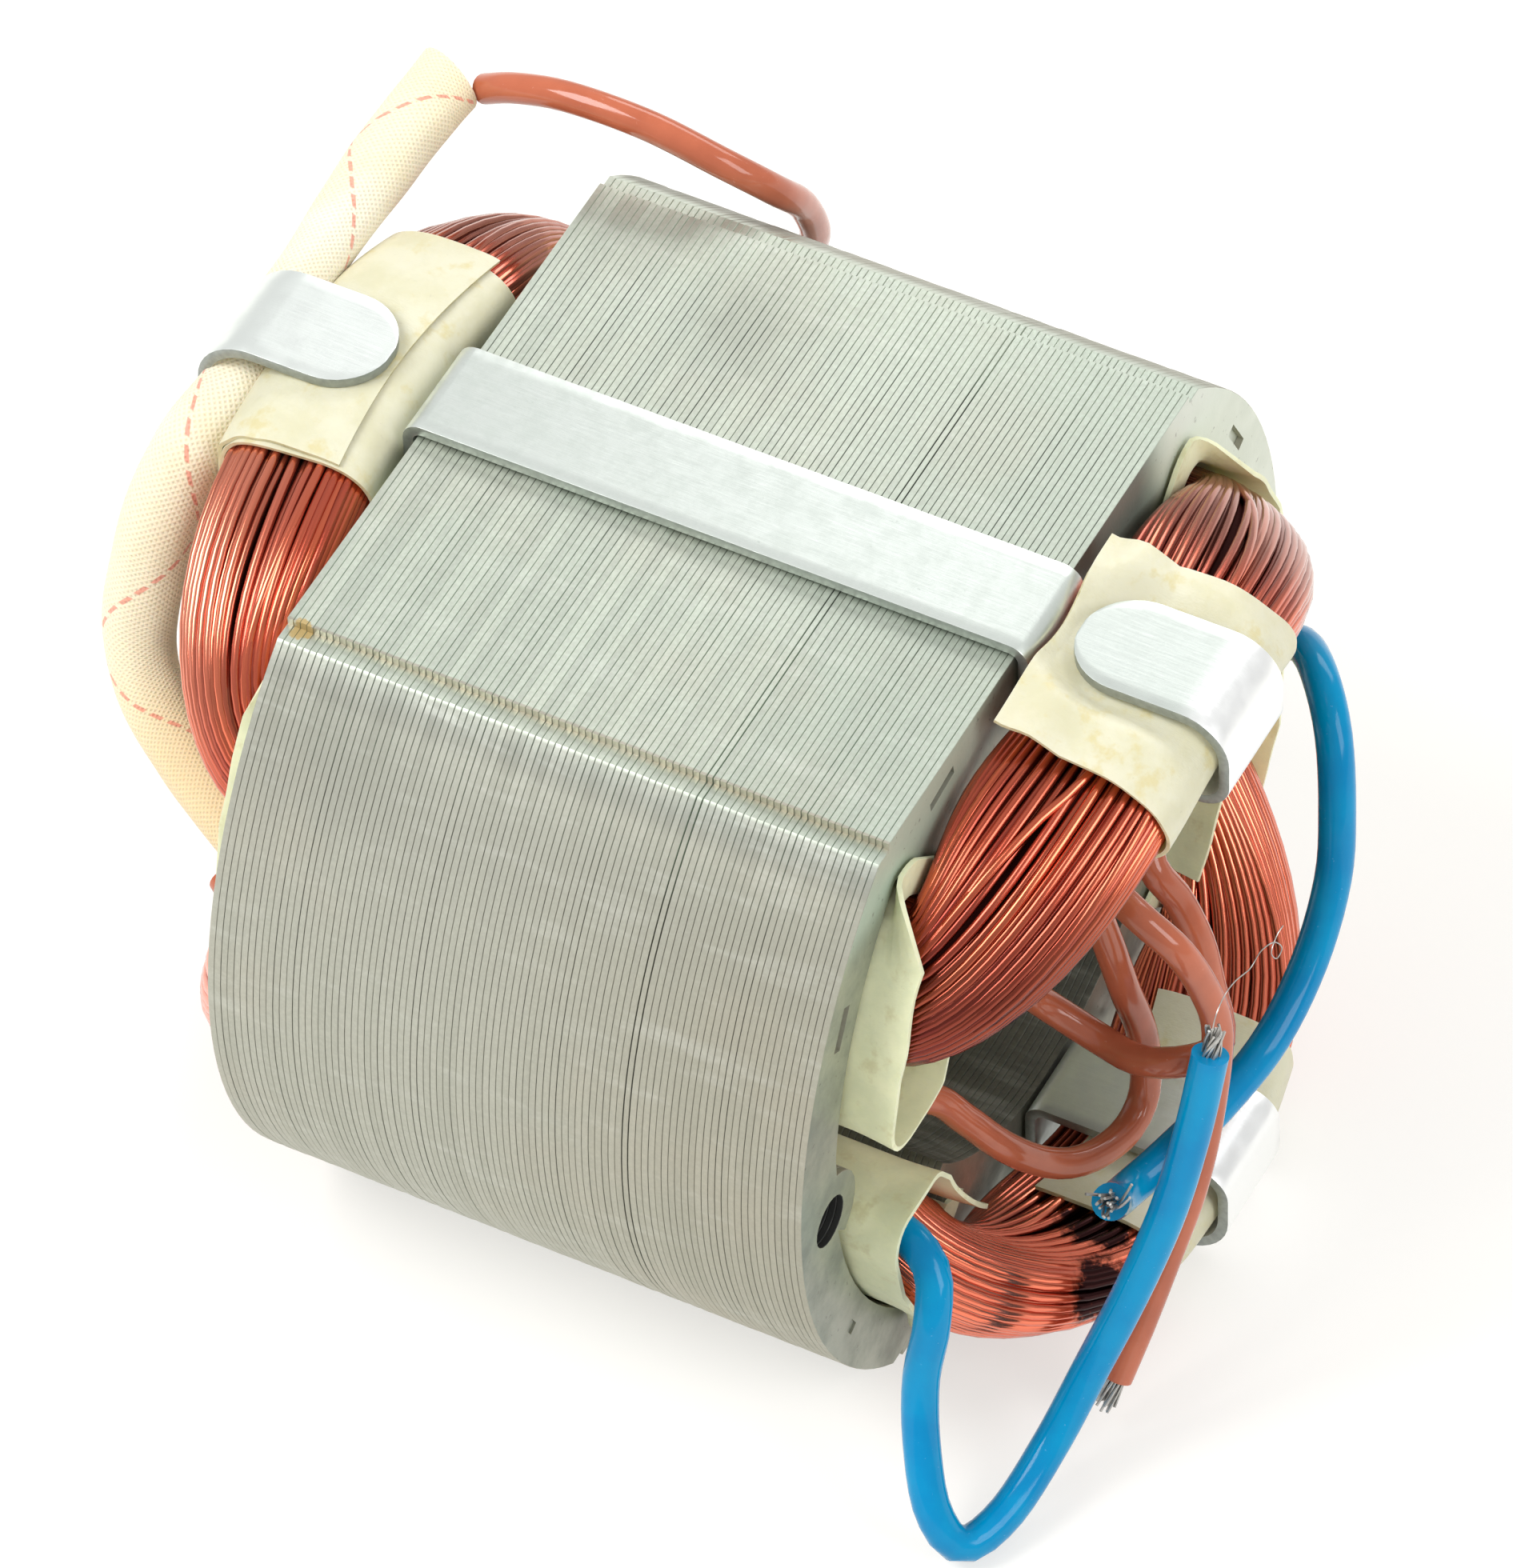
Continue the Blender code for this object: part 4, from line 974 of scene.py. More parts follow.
def sheet_face_finish():
    made, shader = start_finish("lamination_face")
    point = piece_point(made)
    _, y, z = split(made, point)
    tarnish = cloud(made, point, 5 * MM, 5.0, 0.6)
    high = fade(made, z, AXIS_HEIGHT + 19 * MM, AXIS_HEIGHT + 24 * MM, 0.0, 0.8)
    # Painted shade where the upper coils stand in front of the end face
    shade_behind_coils = product(made, fade(made, y, -10 * MM, -3 * MM), fade(made, y, 18.5 * MM, 14 * MM))
    steel = lay_over(
        made, OXIDE[0],
        (fade(made, tarnish, 0.35, 0.7), OXIDE[1]),
        (high, HIGH_OXIDE),
        (product(made, high, shade_behind_coils), FACE_SHADE_BEHIND_COILS),
        # Painted light: the far side of the end face is lighter
        (fade(made, y, 16 * MM, 20 * MM, 0.0, 0.8), FAR_FACE_LIGHT),
        (fade(made, cloud(made, point, 0.6 * MM, 3.0), 0.66, 0.74, 0.0, 0.6), SPECK),
    )
    fill(made, shader, Base_Color=steel, Metallic=fade(made, high, 0.0, 0.8, 0.6, 0.1))
    fill(made, shader, Roughness=fade(made, tarnish, 0.3, 0.7, 0.32, 0.5))
    fill(made, shader, Normal=bumps(made, cloud(made, point, 0.25 * MM, 2.0), 0.012 * MM))
    return made


# The inside of the screw holes is painted dark, as the shade in them
def hole_shade_finish():
    made, shader = start_finish("screw_hole_shade")
    fill(made, shader, Base_Color=HOLE_SHADE, Metallic=0.2, Roughness=0.45)
    return made


def in_screw_hole(place):
    apart = []
    for side in (-1, 1):
        aside, up = side * SCREW_CENTRE.x, AXIS_HEIGHT + side * SCREW_CENTRE.y
        apart.append(math.hypot(place.y - aside, place.z - up))
    return min(apart) < SCREW_HOLE_RADIUS + HOLE_MARGIN


core.data.materials.clear()
for finish in (cut_edge_finish(), sheet_face_finish(), hole_shade_finish()):
    core.data.materials.append(finish)
# Faces along X take the sheet faces' finish, and faces inside the screw holes take the painted shade
for face in core.data.polygons:
    if abs(face.normal.x) > FACES_ALONG_X:
        face.material_index = 1
    elif in_screw_hole(face.center):
        face.material_index = 2
settle(core, None, "lamination_steel", "lamination_stack", smooth_angle=20)

# %% [markdown]
# Each coil is a bundle of enamelled wire, wound through two slots and bent round the pole at both ends. A
# turn runs from the near slot to the far one: it leaves the stack straight, swings out and up to the
# middle, and comes back. Every wire of the three outer layers is drawn as its own closed curve, so that
# light runs along it. Neighbours bunch and part together, and a few strays lie on top of the rest, as
# hand-laid wire does. A dark ring fills the bundle, because no light gets through it.

# %% The way of a turn
START_ANGLE = math.radians(46)
END_ANGLE = math.radians(70)
COIL_INNER = 23.35 * MM
COIL_OUTER = 29.65 * MM
COIL_STUB = 0.9 * MM
SQUARENESS = 2.8
SWELL = 0.26
PLAIN_END = (2.1 * MM, 14.2 * MM, 21.6 * MM, 26.2 * MM, 1.05, 1.0, 1.4)
UPPER_FRONT_END = (2.1 * MM, 14.2 * MM, 21.6 * MM, 25.7 * MM, 1.8, 1.0, 1.15)
UPPER_REAR_END = (2.1 * MM, 11.9 * MM, 21.6 * MM, 27.4 * MM, 1.3, 0.78, 0.78)


def end_of(level, front):
    """Inner and outer reach, bottom, top, how late it rises, and how slim it is on either side."""
    if level < 0:
        return PLAIN_END
    return UPPER_FRONT_END if front > 0 else UPPER_REAR_END


def slot_place(along, across):
    """Where a point of the section lies inside the slot: distance from the middle and height."""
    angle = START_ANGLE + (END_ANGLE - START_ANGLE) * along
    return polar(COIL_INNER + (COIL_OUTER - COIL_INNER) * across, angle)


def section_point(turn):
    """A point of the coil's section, at an angle counted from its outer side, as (along, across)."""
    shares = []
    for value in (math.cos(turn), math.sin(turn)):
        shares.append(0.5 + 0.5 * math.copysign(abs(value) ** (2 / SQUARENESS), value))
    return tuple(shares)


def section_normal(out, depth, rise):
    """The direction straight out of the section's rounded square, which is this deep and this high."""
    slopes = []
    for value, size in ((out.x, depth), (out.y, rise)):
        slopes.append(math.copysign(abs(2 * value) ** (SQUARENESS - 1) / size, value))
    return Vector(slopes).normalized()


def turn_point(level, front, along, across, sweep, grow=0.0):
    """A point of one turn. The sweep runs from -90 degrees at the near slot to 90 at the far one."""
    inner, outer, bottom, top, rise_late, near_taper, far_taper = end_of(level, front)
    depth, rise = outer - inner, top - bottom
    swell = 1 + SWELL * math.sin(2 * sweep) ** 2
    out = Vector((along - 0.5, across - 0.5))
    along = 0.5 + out.x * swell
    if out.y > 0:
        across = 0.5 + out.y * swell
    push = section_normal(out, depth, rise) * grow
    reach = HALF_STACK + inner + depth * along + push.x
    height = bottom + rise * across + push.y
    side_y, side_z = slot_place(along, across)
    start = HALF_STACK + COIL_STUB
    turned = max(math.cos(sweep), 0.0)
    x = start + (reach - start) * turned ** (near_taper if sweep < 0 else far_taper)
    z = side_z + (height - side_z) * turned**rise_late
    return Vector((front * x, side_y * math.sin(sweep), AXIS_HEIGHT + level * z))


middle = turn_point(1, 1, 1.0, 0.5, 0.0)
print("upper coil reaches past the stack in mm:", round((middle.x - HALF_STACK) / MM, 1))

# %% Wires of the coils
WIRE_RADIUS = 0.365 * MM
SWEEP_STEPS = 34

# For each layer: its wires, their depth below the surface in mm, and the shift of the first one in wires
WIRE_LAYERS = ((44, 0.36, 0.0), (44, 0.88, 0.5), (38, 1.45, 0.25))
WIRE_OPENNESS = (1.0, 0.72, 0.35)
STRAY_WIRES = ((4, 0.030), (11, -0.034), (17, 0.022), (24, 0.034), (32, -0.030), (39, 0.036))
STRAY_LIFT = 10.0
BUNCH_DRIFT = 0.010
OWN_DRIFT = 0.006
OWN_DEPTH = 0.14
FILL_DEPTH = 1.9 * MM
FILL_STEPS = 24
NEAR_SHADE = 0.66
NEAR_SHADE_TOP = AXIS_HEIGHT + 25 * MM
NEAR_SHADE_REACH = 10 * MM


def coil_way():
    """The stations of a whole turn: along the front end winding and back along the rear one."""
    for front in (1, -1):
        for i in range(SWEEP_STEPS + 1):
            step = i if front > 0 else SWEEP_STEPS - i
            yield front, math.radians(-90 + 180 * step / SWEEP_STEPS)


def wire_round_section(level, number, count, depth, shift, stray=0.0):
    """One closed wire, its share of the way round the coil's section and a depth below its surface."""
    points = []
    share = (number + shift) / count
    for front, sweep in coil_way():
        loose = math.cos(sweep)
        round_part = 2 * math.pi * share
        bunch = Vector((math.cos(round_part) * 1.9, math.sin(round_part) * 1.9, sweep * 0.8))
        bunch += Vector((0, 0, front * 3.0 + level * 7.0))
        own = Vector((sweep * 0.9, front * 2.0 + level * 5.0, number * 1.7))
        drift = BUNCH_DRIFT * noise.noise(bunch) + OWN_DRIFT * noise.noise(own)
        drift += stray * math.sin(sweep * 1.5 + front)
        rise = OWN_DEPTH * noise.noise(own + Vector((9.0, 0.0, 4.0))) + STRAY_LIFT * abs(stray)
        sink = depth - rise * loose
        along, across = section_point(2 * math.pi * (share + drift * loose))
        points.append(turn_point(level, front, along, across, sweep, -sink * MM))
    return points


def coil_wires(level):
    """All the wires of a coil: its layers from the outside in, and then its strays."""
    lines = []
    for count, depth, shift in WIRE_LAYERS:
        lines += [wire_round_section(level, i, count, depth, shift) for i in range(count)]
    count, depth, _ = WIRE_LAYERS[0]
    lines += [wire_round_section(level, i, count, depth, 0.5, stray) for i, stray in STRAY_WIRES]
    return lines


def coil_fill(name, level):
    """The dark inside of the bundle, as one closed ring below the wires."""
    rows = []
    turns = [2 * math.pi * k / FILL_STEPS for k in range(FILL_STEPS)]
    for front, sweep in coil_way():
        rows.append([turn_point(level, front, *section_point(turn), sweep, -FILL_DEPTH) for turn in turns])
    return sheet_through(name, rows + rows[:1], closed=True)


def openness_of(number):
    """How much light reaches a wire: all of it on top, little in the layers below."""
    for (count, _, _), openness in zip(WIRE_LAYERS, WIRE_OPENNESS):
        if number < count:
            return openness
        number -= count
    return 1.0


def shade_each_wire(obj, wires, level):
    """Gives every wire a number of its own for its tint, and every point a share of open light, from which
    the finish paints shade.
    """
    per_wire = len(obj.data.vertices) // wires
    stations = list(coil_way())
    per_ring = per_wire // len(stations)
    hearts = [turn_point(level, front, 0.5, 0.5, sweep) for front, sweep in stations]
    tints = [dice.random() for _ in range(wires)]
    opens = []
    for i, vertex in enumerate(obj.data.vertices):
        wire, place = divmod(i, per_wire)
        front, sweep = stations[place // per_ring]
        facing = vertex.normal.dot((vertex.co - hearts[place // per_ring]).normalized())
        share = openness_of(wire) * ease(facing, -0.4, 0.7)
        if level > 0 and front > 0:
            low = ease(NEAR_SHADE_TOP - vertex.co.z, 0.0, NEAR_SHADE_REACH)
            share *= 1 - NEAR_SHADE * low * ease(-sweep, 0.1, 0.7)
        opens.append(share)
    point_tints = [tints[i // per_wire] for i in range(len(opens))]
    for name, values in (("wire_tint", point_tints), ("wire_open", opens)):
        attribute = obj.data.attributes.new(name, "FLOAT", "POINT")
        attribute.data.foreach_set("value", values)


coils = {}
fills = {}
for word, level in (("upper", 1), ("lower", -1)):
    lines = coil_wires(level)
    coils[word] = wires_mesh(word + "_coil_wires", lines, WIRE_RADIUS, smoothness=2, cyclic=True)
    shade_each_wire(coils[word], len(lines), level)
    fills[word] = coil_fill(word + "_coil_inside", level)
    turn_out(fills[word])
    print(word, "coil wires:", len(lines))

# %% [markdown]
# Enamelled copper is bright metal under a dark red-brown varnish. The colour is a deep red that varies
# from wire to wire, metallic so that its highlights turn orange, with a clear coat on top. Wires that lie
# deep, the flanks between wires and the low near part of the upper front coil are painted dark as shade
# and get little of the coat. The rear end windings and the lower coil are painted lighter as painted
# light, the far side above the axis is greyer and darker, and soot-black varnish has run over one place
# on the lower coil.

# %% Finish of the enamelled wire
ENAMEL = ((0.82, 0.160, 0.070), (0.52, 0.070, 0.040))
CLOUDY_ENAMEL = (0.66, 0.17, 0.08)
# Painted light on the rear end windings
REAR_LIT_ENAMEL = (0.94, 0.32, 0.20)
# Painted light on the lower coil
LOWER_LIT_ENAMEL = (1.0, 0.25, 0.14)
# Greyer and darker on the far side above the axis
FAR_SIDE_ENAMEL = ((0.36, 0.19, 0.145), (0.14, 0.06, 0.045))
# Painted shade on wires that lie deep and between wires
ENAMEL_IN_SHADE = (0.050, 0.008, 0.008)
STAIN = (0.030, 0.006, 0.006)
STAIN_PLACES = ((31.8 * MM, -11.4 * MM, 7.6 * MM), (34.6 * MM, -16.2 * MM, 8.0 * MM))
STAIN_REACH = 5.5 * MM
COIL_INSIDE = (0.06, 0.009, 0.007, 1.0)


def point_value(made, name):
    """A number that every point of the mesh carries under this name."""
    return add_node(made, "ShaderNodeAttribute", attribute_name=name).outputs["Fac"]


def enamel_finish():
    made, shader = start_finish("enamelled_copper")
    point = piece_point(made)
    x, y, z = split(made, point)
    own, light = point_value(made, "wire_tint"), point_value(made, "wire_open")
    patches = fade(made, cloud(made, point, 6 * MM, 2.0), 0.4, 0.7, 0.0, 0.4)
    # Painted light: the rear end windings are lighter
    rear = fade(made, x, -24 * MM, -32 * MM, 0.0, 0.7)
    # Painted light: the lower coil is lighter
    lower = fade(made, z, AXIS_HEIGHT + 8 * MM, AXIS_HEIGHT - 2 * MM)
    # The far side above the axis is greyer and darker
    far_side_darker = product(made, fade(made, y, 8 * MM, 17 * MM, 0.0, 0.6), sums(made, "SUBTRACT", 1.0, lower))
    enamel = lay_over(
        made, ENAMEL[0],
        (own, ENAMEL[1]),
        (patches, CLOUDY_ENAMEL),
        (rear, REAR_LIT_ENAMEL),
        (product(made, lower, 0.6), LOWER_LIT_ENAMEL),
        (far_side_darker, blend_colour(made, rear, *FAR_SIDE_ENAMEL)),
    )
    spots = [near_place(made, place, STAIN_REACH) for place in STAIN_PLACES]
    run = product(made, sums(made, "MAXIMUM", *spots), 1.8)
    stain = fade(made, product(made, run, cloud(made, point, 1.7 * MM, 4.0, 0.7)), 0.34, 0.66)
    # Painted shade: where little light reaches a wire, its colour turns to the shade colour
    fill(made, shader, Base_Color=lay_over(made, ENAMEL_IN_SHADE, (light, enamel), (stain, STAIN)), Metallic=0.9)
    fill(made, shader, Roughness=fade(made, own, 0.0, 1.0, 0.15, 0.25))
    varnish = product(made, light, fade(made, stain, 0.0, 0.8, 0.5, 0.08))
    fill(made, shader, Coat_Weight=varnish, Coat_Roughness=0.1)
    fill(made, shader, Specular_IOR_Level=fade(made, stain, 0.0, 0.8, 0.5, 0.1))
    return made


def coil_inside_finish():
    made, shader = start_finish("coil_inside")
    fill(made, shader, Base_Color=COIL_INSIDE, Roughness=0.7, Specular_IOR_Level=0.1)
    return made


enamel, inside = enamel_finish(), coil_inside_finish()
for word, coil in coils.items():
    settle(coil, enamel, "enamelled_copper", word + "_coil", smooth_angle=80)
    settle(fills[word], inside, "enamelled_copper", word + "_coil")

# %% [markdown]
# A slot liner is one folded sheet of greenish insulating paper round one side of a coil. It stands past
# the end faces and opens a little, and over the pole it is folded back as a cuff. It is drawn as a line
# round the slot, set in five rows at each end of the stack, with its cut edges left slightly wavy, and
# then thickened.

# %% Slot liners
LINER_THICKNESS = 0.35 * MM
ARC_PULL = 0.55
LINER_REACH = {1: 3.2 * MM, -1: 2.0 * MM}
LINER_FLARE = 0.3 * MM
LINER_CUFF = 2.6 * MM
LINER_CUFF_ANGLE = math.radians(53)
LINER_CUFF_FADE = math.radians(6)
LINER_FOOT = 3.4 * MM
LINER_SHOULDER = 2.2 * MM

# How far from the slot's corners the paper's two arcs start and end, and the places of its foot and its top
COVER_START, COVER_END = math.radians(2.5), math.radians(7)
WALL_START, WALL_END = math.radians(14), math.radians(9)
FOOT_OUT, FOOT_IN = 1.8 * MM, 0.2 * MM
TOP_TURN, TOP_RISE = math.radians(0.5), 0.8 * MM

# Corners duller than this stay, and a cut takes at most this share of a side
DULL_CORNER = math.radians(25)
CUT_SHARE = 0.45


def rounded(points, radius, steps=5):
    """An open outline with each inner corner replaced by a curve that is close to a quarter circle."""
    made = [points[0]]
    for before, corner, after in zip(points, points[1:], points[2:]):
        here = Vector(corner)
        back, ahead = Vector(before) - here, Vector(after) - here
        if back.angle(-ahead) < DULL_CORNER:
            made.append(corner)
            continue
        cut = min(radius, back.length * CUT_SHARE, ahead.length * CUT_SHARE)
        start, end = here + back.normalized() * cut, here + ahead.normalized() * cut
        for i in range(steps + 1):
            t = i / steps
            near, far = start.lerp(here, ARC_PULL), end.lerp(here, ARC_PULL)
            bend = start * (1 - t) ** 3 + near * 3 * t * (1 - t) ** 2
            made.append(tuple(bend + far * 3 * t * t * (1 - t) + end * t**3))
    return made + [points[-1]]


def liner_outline():
    """The paper's line round one side of a coil: along the pole, round the foot, up the wall and back."""
    half = LINER_THICKNESS / 2
    inner = POLE_BACK_RADIUS + CLEARANCE + half
    outer = SLOT_OUTER_RADIUS - CLEARANCE - half
    floor = SLOT_END_HEIGHT + CLEARANCE + half
    side = POLE_NECK_ANGLE + (CLEARANCE + half) / inner
    inner_end = math.acos(floor / inner) - COVER_END
    outer_end = math.acos(floor / outer) - WALL_START
    cover = arc(inner, side + COVER_START, inner_end, 10)
    wall = arc(outer, outer_end, side + WALL_END, 8)
    corner, top = polar(outer, side + TOP_TURN), polar(inner + TOP_RISE, side)
    shoulder = rounded([wall[-1], corner, top], LINER_SHOULDER, 7)
    foot = [(cover[-1][0] + FOOT_OUT, floor), (math.sqrt(outer**2 - floor**2) - FOOT_IN, floor), wall[0]]
    foot = rounded(foot, LINER_FOOT, 7)[:-1]
    return rounded(cover + foot + wall + shoulder[1:], LINER_CORNER)


def cuff_share(y, z):
    """1 where the mouth is folded back over the pole's end face, 0 where it stands straight out."""
    if math.hypot(y, z) < POLE_BACK_RADIUS + 2 * CLEARANCE + LINER_THICKNESS:
        return 0.0
    return min(max((LINER_CUFF_ANGLE - math.atan2(y, z)) / LINER_CUFF_FADE, 0.0), 1.0)


def liner_end(side, level, front):
    """Rows from inside the slot out to the mouth, at one end of the stack."""
    middle = Vector(slot_place(0.5, 0.5))
    fold = HALF_STACK + CLEARANCE + LINER_THICKNESS / 2
    rows = []
    for share in (0.0, 0.25, 0.5, 0.75, 1.0):
        row = []
        for y, z in liner_outline():
            cuff = cuff_share(y, z)
            wavy = 1 + 0.1 * noise.noise(Vector((y * 260, z * 260, side + 2 * level + 4 * front)))
            away = (Vector((y, z)) - middle).normalized()
            away *= share**1.4 * (LINER_FLARE + (LINER_CUFF * wavy - LINER_FLARE) * cuff)
            x = fold + LINER_REACH[front] * (1 - cuff) * share * wavy
            row.append((front * x, side * (y + away.x), AXIS_HEIGHT + level * (z + away.y)))
        rows.append(row)
    return rows


liners = []
for level_word, level in (("upper", 1), ("lower", -1)):
    for side_word, side in (("near", -1), ("far", 1)):
        rows = list(reversed(liner_end(side, level, -1))) + liner_end(side, level, 1)
        name = f"{level_word}_{side_word}_liner"
        liner = sheet_through(name + "_paper", rows)
        thicken(liner, LINER_THICKNESS)
        liners.append((liner, name))
print("liners:", len(liners))

# %% [markdown]
# The wraps are short lengths of insulating film, laid round the middle of each end winding so that the
# clip can't cut the enamel. Each is a sheet that follows the winding's section a hair outside it. At the
# upper front, its free edge stands up beside the strap, and it bulges wherever the tab doesn't press it
# down. At the upper rear, it goes on over the winding's shoulder, and a second layer ends on top as a
# flap.

# %% Wraps of film
WRAP_THICKNESS = 0.3 * MM
WRAP_STEPS = 56
WRAP_ROWS = 34
RAGGED = 0.2 * MM
WRINKLE = 0.09 * MM
STRIP_WIDTH = 8.2 * MM
TAB_REACH = 13.0 * MM
TAB_SPREAD = 2.6 * MM
TAB_STAND_OFF = 1.3 * MM
LAYER_GAP = 0.05 * MM

# For each film: near and far edge in mm, then the turns round the section at its two ends in degrees, and
# how much further in its far edge lies at the start, in mm
PLAIN_WRAP = (-9.8, 10.0, 170, -112)
FRONT_WRAP = (-9.9, 9.8, 96, -112, -2.4)
REAR_WRAP = (-9.3, 11.8, 222, -112)
REAR_FLAP = (-9.1, 12.9, 120, -8)

# For three places across the front film: how far it stands off its winding and the height of its free
# edge, in mm
PUFF = ((-10, 1.1, 27.3), (0, 0.9, 27.9), (10, 1.9, 28.3))
FREE_EDGE_X = 24.0 * MM
PUFF_RISE = 3.0 * MM
PUFF_END = 0.42
BRIDGE = (0.0, 0.12, 0.25, 0.4, 0.55, 0.7, 0.85)


def beside_tab(x, y):
    """0 under the front tab, 1 well beside it."""
    tip = HALF_STACK + UPPER_FRONT_END[1] + TAB_STAND_OFF - TAB_REACH + STRIP_WIDTH / 2
    apart = abs(y) if x > tip else math.hypot(x - tip, y)
    return ease(apart - STRIP_WIDTH / 2, 0.1 * MM, TAB_SPREAD)


def wrap_row(level, front, share, shape, lift=0.0):
    """The film's section at one share of the way from its near edge to its far one."""
    near, far, first, last, slant = (*shape, 0.0)[:5]
    row = []
    for i in range(WRAP_STEPS + 1):
        t = i / WRAP_STEPS
        turn = math.radians(first + (last - first) * t)
        along, across = section_point(turn)
        here = Vector((t * 5.0, share * 3.0, level * 3.0 + front))
        ragged = RAGGED * noise.noise(here * 1.2) * abs(2 * share - 1) ** 3
        place = (near + (far + slant * (1 - t) ** 2 - near) * share) * MM + ragged
        wrinkle = WRINKLE * noise.noise(Vector((t * 6.0, share * 5.0, 5.0 * level + front)))
        sweep = math.asin(place / slot_place(along, across)[0])
        grow = CLEARANCE + WRAP_THICKNESS / 2 + wrinkle + lift
        row.append(turn_point(level, front, along, across, sweep, grow))
    return row


def front_row(share):
    """A row of the upper front film: its free edge, the bridge to the winding, and the way round it."""
    row = wrap_row(1, 1, share, FRONT_WRAP)
    puff, edge_height = between(PUFF, FRONT_WRAP[0] + (FRONT_WRAP[1] - FRONT_WRAP[0]) * share)
    top = row[0].copy()
    edge = Vector((FREE_EDGE_X, top.y, AXIS_HEIGHT + edge_height * MM))
    bridge = [edge.lerp(top, t) for t in BRIDGE]
    crown = max(p.z for p in row)
    for i, point in enumerate(bridge):
        swell = puff * MM * ease(point.x - FREE_EDGE_X, 0.0, PUFF_RISE)
        low = crown + (LAYER_GAP if i else 0.0)
        free = beside_tab(point.x, point.y)
        point.z = point.z * free + min(point.z, low) * (1 - free) + swell * free
    for i, point in enumerate(row):
        fall = 1 - ease(i / WRAP_STEPS, 0.0, PUFF_END)
        point.z += puff * MM * fall * beside_tab(point.x, point.y)
    return bridge + row


FILMS = (
    ("upper_front_wrap", [front_row]),
    ("upper_rear_wrap", [lambda share: wrap_row(1, -1, share, REAR_WRAP),
                         lambda share: wrap_row(1, -1, share, REAR_FLAP, WRAP_THICKNESS + LAYER_GAP)]),
    ("lower_front_wrap", [lambda share: wrap_row(-1, 1, share, PLAIN_WRAP)]),
    ("lower_rear_wrap", [lambda share: wrap_row(-1, -1, share, PLAIN_WRAP)]),
)
wraps = []
for name, layers in FILMS:
    films = []
    for layer in layers:
        films.append(sheet_through(name + "_film", [layer(i / WRAP_ROWS) for i in range(WRAP_ROWS + 1)]))
        thicken(films[-1], WRAP_THICKNESS, own_edges=True)
    wraps.append((join(films), name))
print("wraps:", len(wraps))

# %% [markdown]
# Paper and film let a little light into themselves. Both get some light under the surface, fine fibres,
# cloudy patches and specks of dirt, and darker yellow blotches where varnish has soaked in.

# %% Finish of paper and film
DIRT = (0.44, 0.40, 0.27)


def sheet_finish(name, pale, deep, blot, blot_size, rough, fibre):
    made, shader = start_finish(name)
    point = piece_point(made)
    cloudy = fade(made, cloud(made, point, 4 * MM, 5.0, 0.6), 0.35, 0.7)
    blots = fade(made, cloud(made, point, blot_size, 4.0, 0.65), 0.54, 0.7, 0.0, 0.55)
    dirt = fade(made, cloud(made, point, 0.8 * MM, 5.0, 0.7), 0.64, 0.76, 0.0, 0.4)
    fibres = cloud(made, piece_point(made, (1.0, 6.0, 1.0)), fibre, 3.0, 0.6)
    dark_fibres = (fade(made, fibres, 0.55, 0.8, 0.0, 0.2), tuple(c * 0.8 for c in pale))
    colour = lay_over(made, pale, (cloudy, deep), (blots, blot), (dirt, DIRT), dark_fibres)
    fill(made, shader, Base_Color=colour, Roughness=rough)
    depths = (1.2 * MM, 1.0 * MM, 0.6 * MM)
    fill(made, shader, Subsurface_Weight=0.25, Subsurface_Radius=depths, Subsurface_Scale=1.0)
    fill(made, shader, Normal=bumps(made, cloudy, 0.04 * MM, bumps(made, fibres, 0.01 * MM)))
    return made


slot_paper = sheet_finish(
    "slot_paper", (0.85, 0.86, 0.56), (0.72, 0.75, 0.49), (0.60, 0.55, 0.30), 2.5 * MM, 0.45, 0.7 * MM)
wrap_film = sheet_finish(
    "wrap_film", (0.68, 0.655, 0.49), (0.62, 0.59, 0.40), (0.60, 0.50, 0.20), 2.4 * MM, 0.42, 0.5 * MM)
film_edge = sheet_finish(
    "film_edge", (0.66, 0.60, 0.38), (0.50, 0.44, 0.24), (0.36, 0.27, 0.12), 1.0 * MM, 0.5, 0.5 * MM)


def settle_with_edges(obj, face_finish, edge_finish, slot, node, smooth_angle):
    """Settles a sheet whose edges were kept as the second of its two finishes."""
    for i in range(len(obj.data.materials)):
        obj.data.materials[i] = edge_finish if i % 2 else face_finish
    settle(obj, None, slot, node, smooth_angle=smooth_angle)


for liner, name in liners:
    settle(liner, slot_paper, "slot_paper", name, smooth_angle=50)
for wrap, name in wraps:
    settle_with_edges(wrap, wrap_film, film_edge, "wrap_film", name, 50)

# %% [markdown]
# A clip is one strip of plated steel. Its strap crosses the flat, turns down inside both end windings,
# runs out under them and curls back over them as round-ended tabs. It is laid as a sheet through rows of
# nine points from tip to tip, thickened, and its edges get a small round.

# %% Line of a clip
TAB_BEND = 4.4 * MM
STRIP_BEND = 1.1 * MM
STRIP_EDGE_ROUND = 0.13 * MM
END_SAG = 0.6 * MM
TIP_ROWS = 10


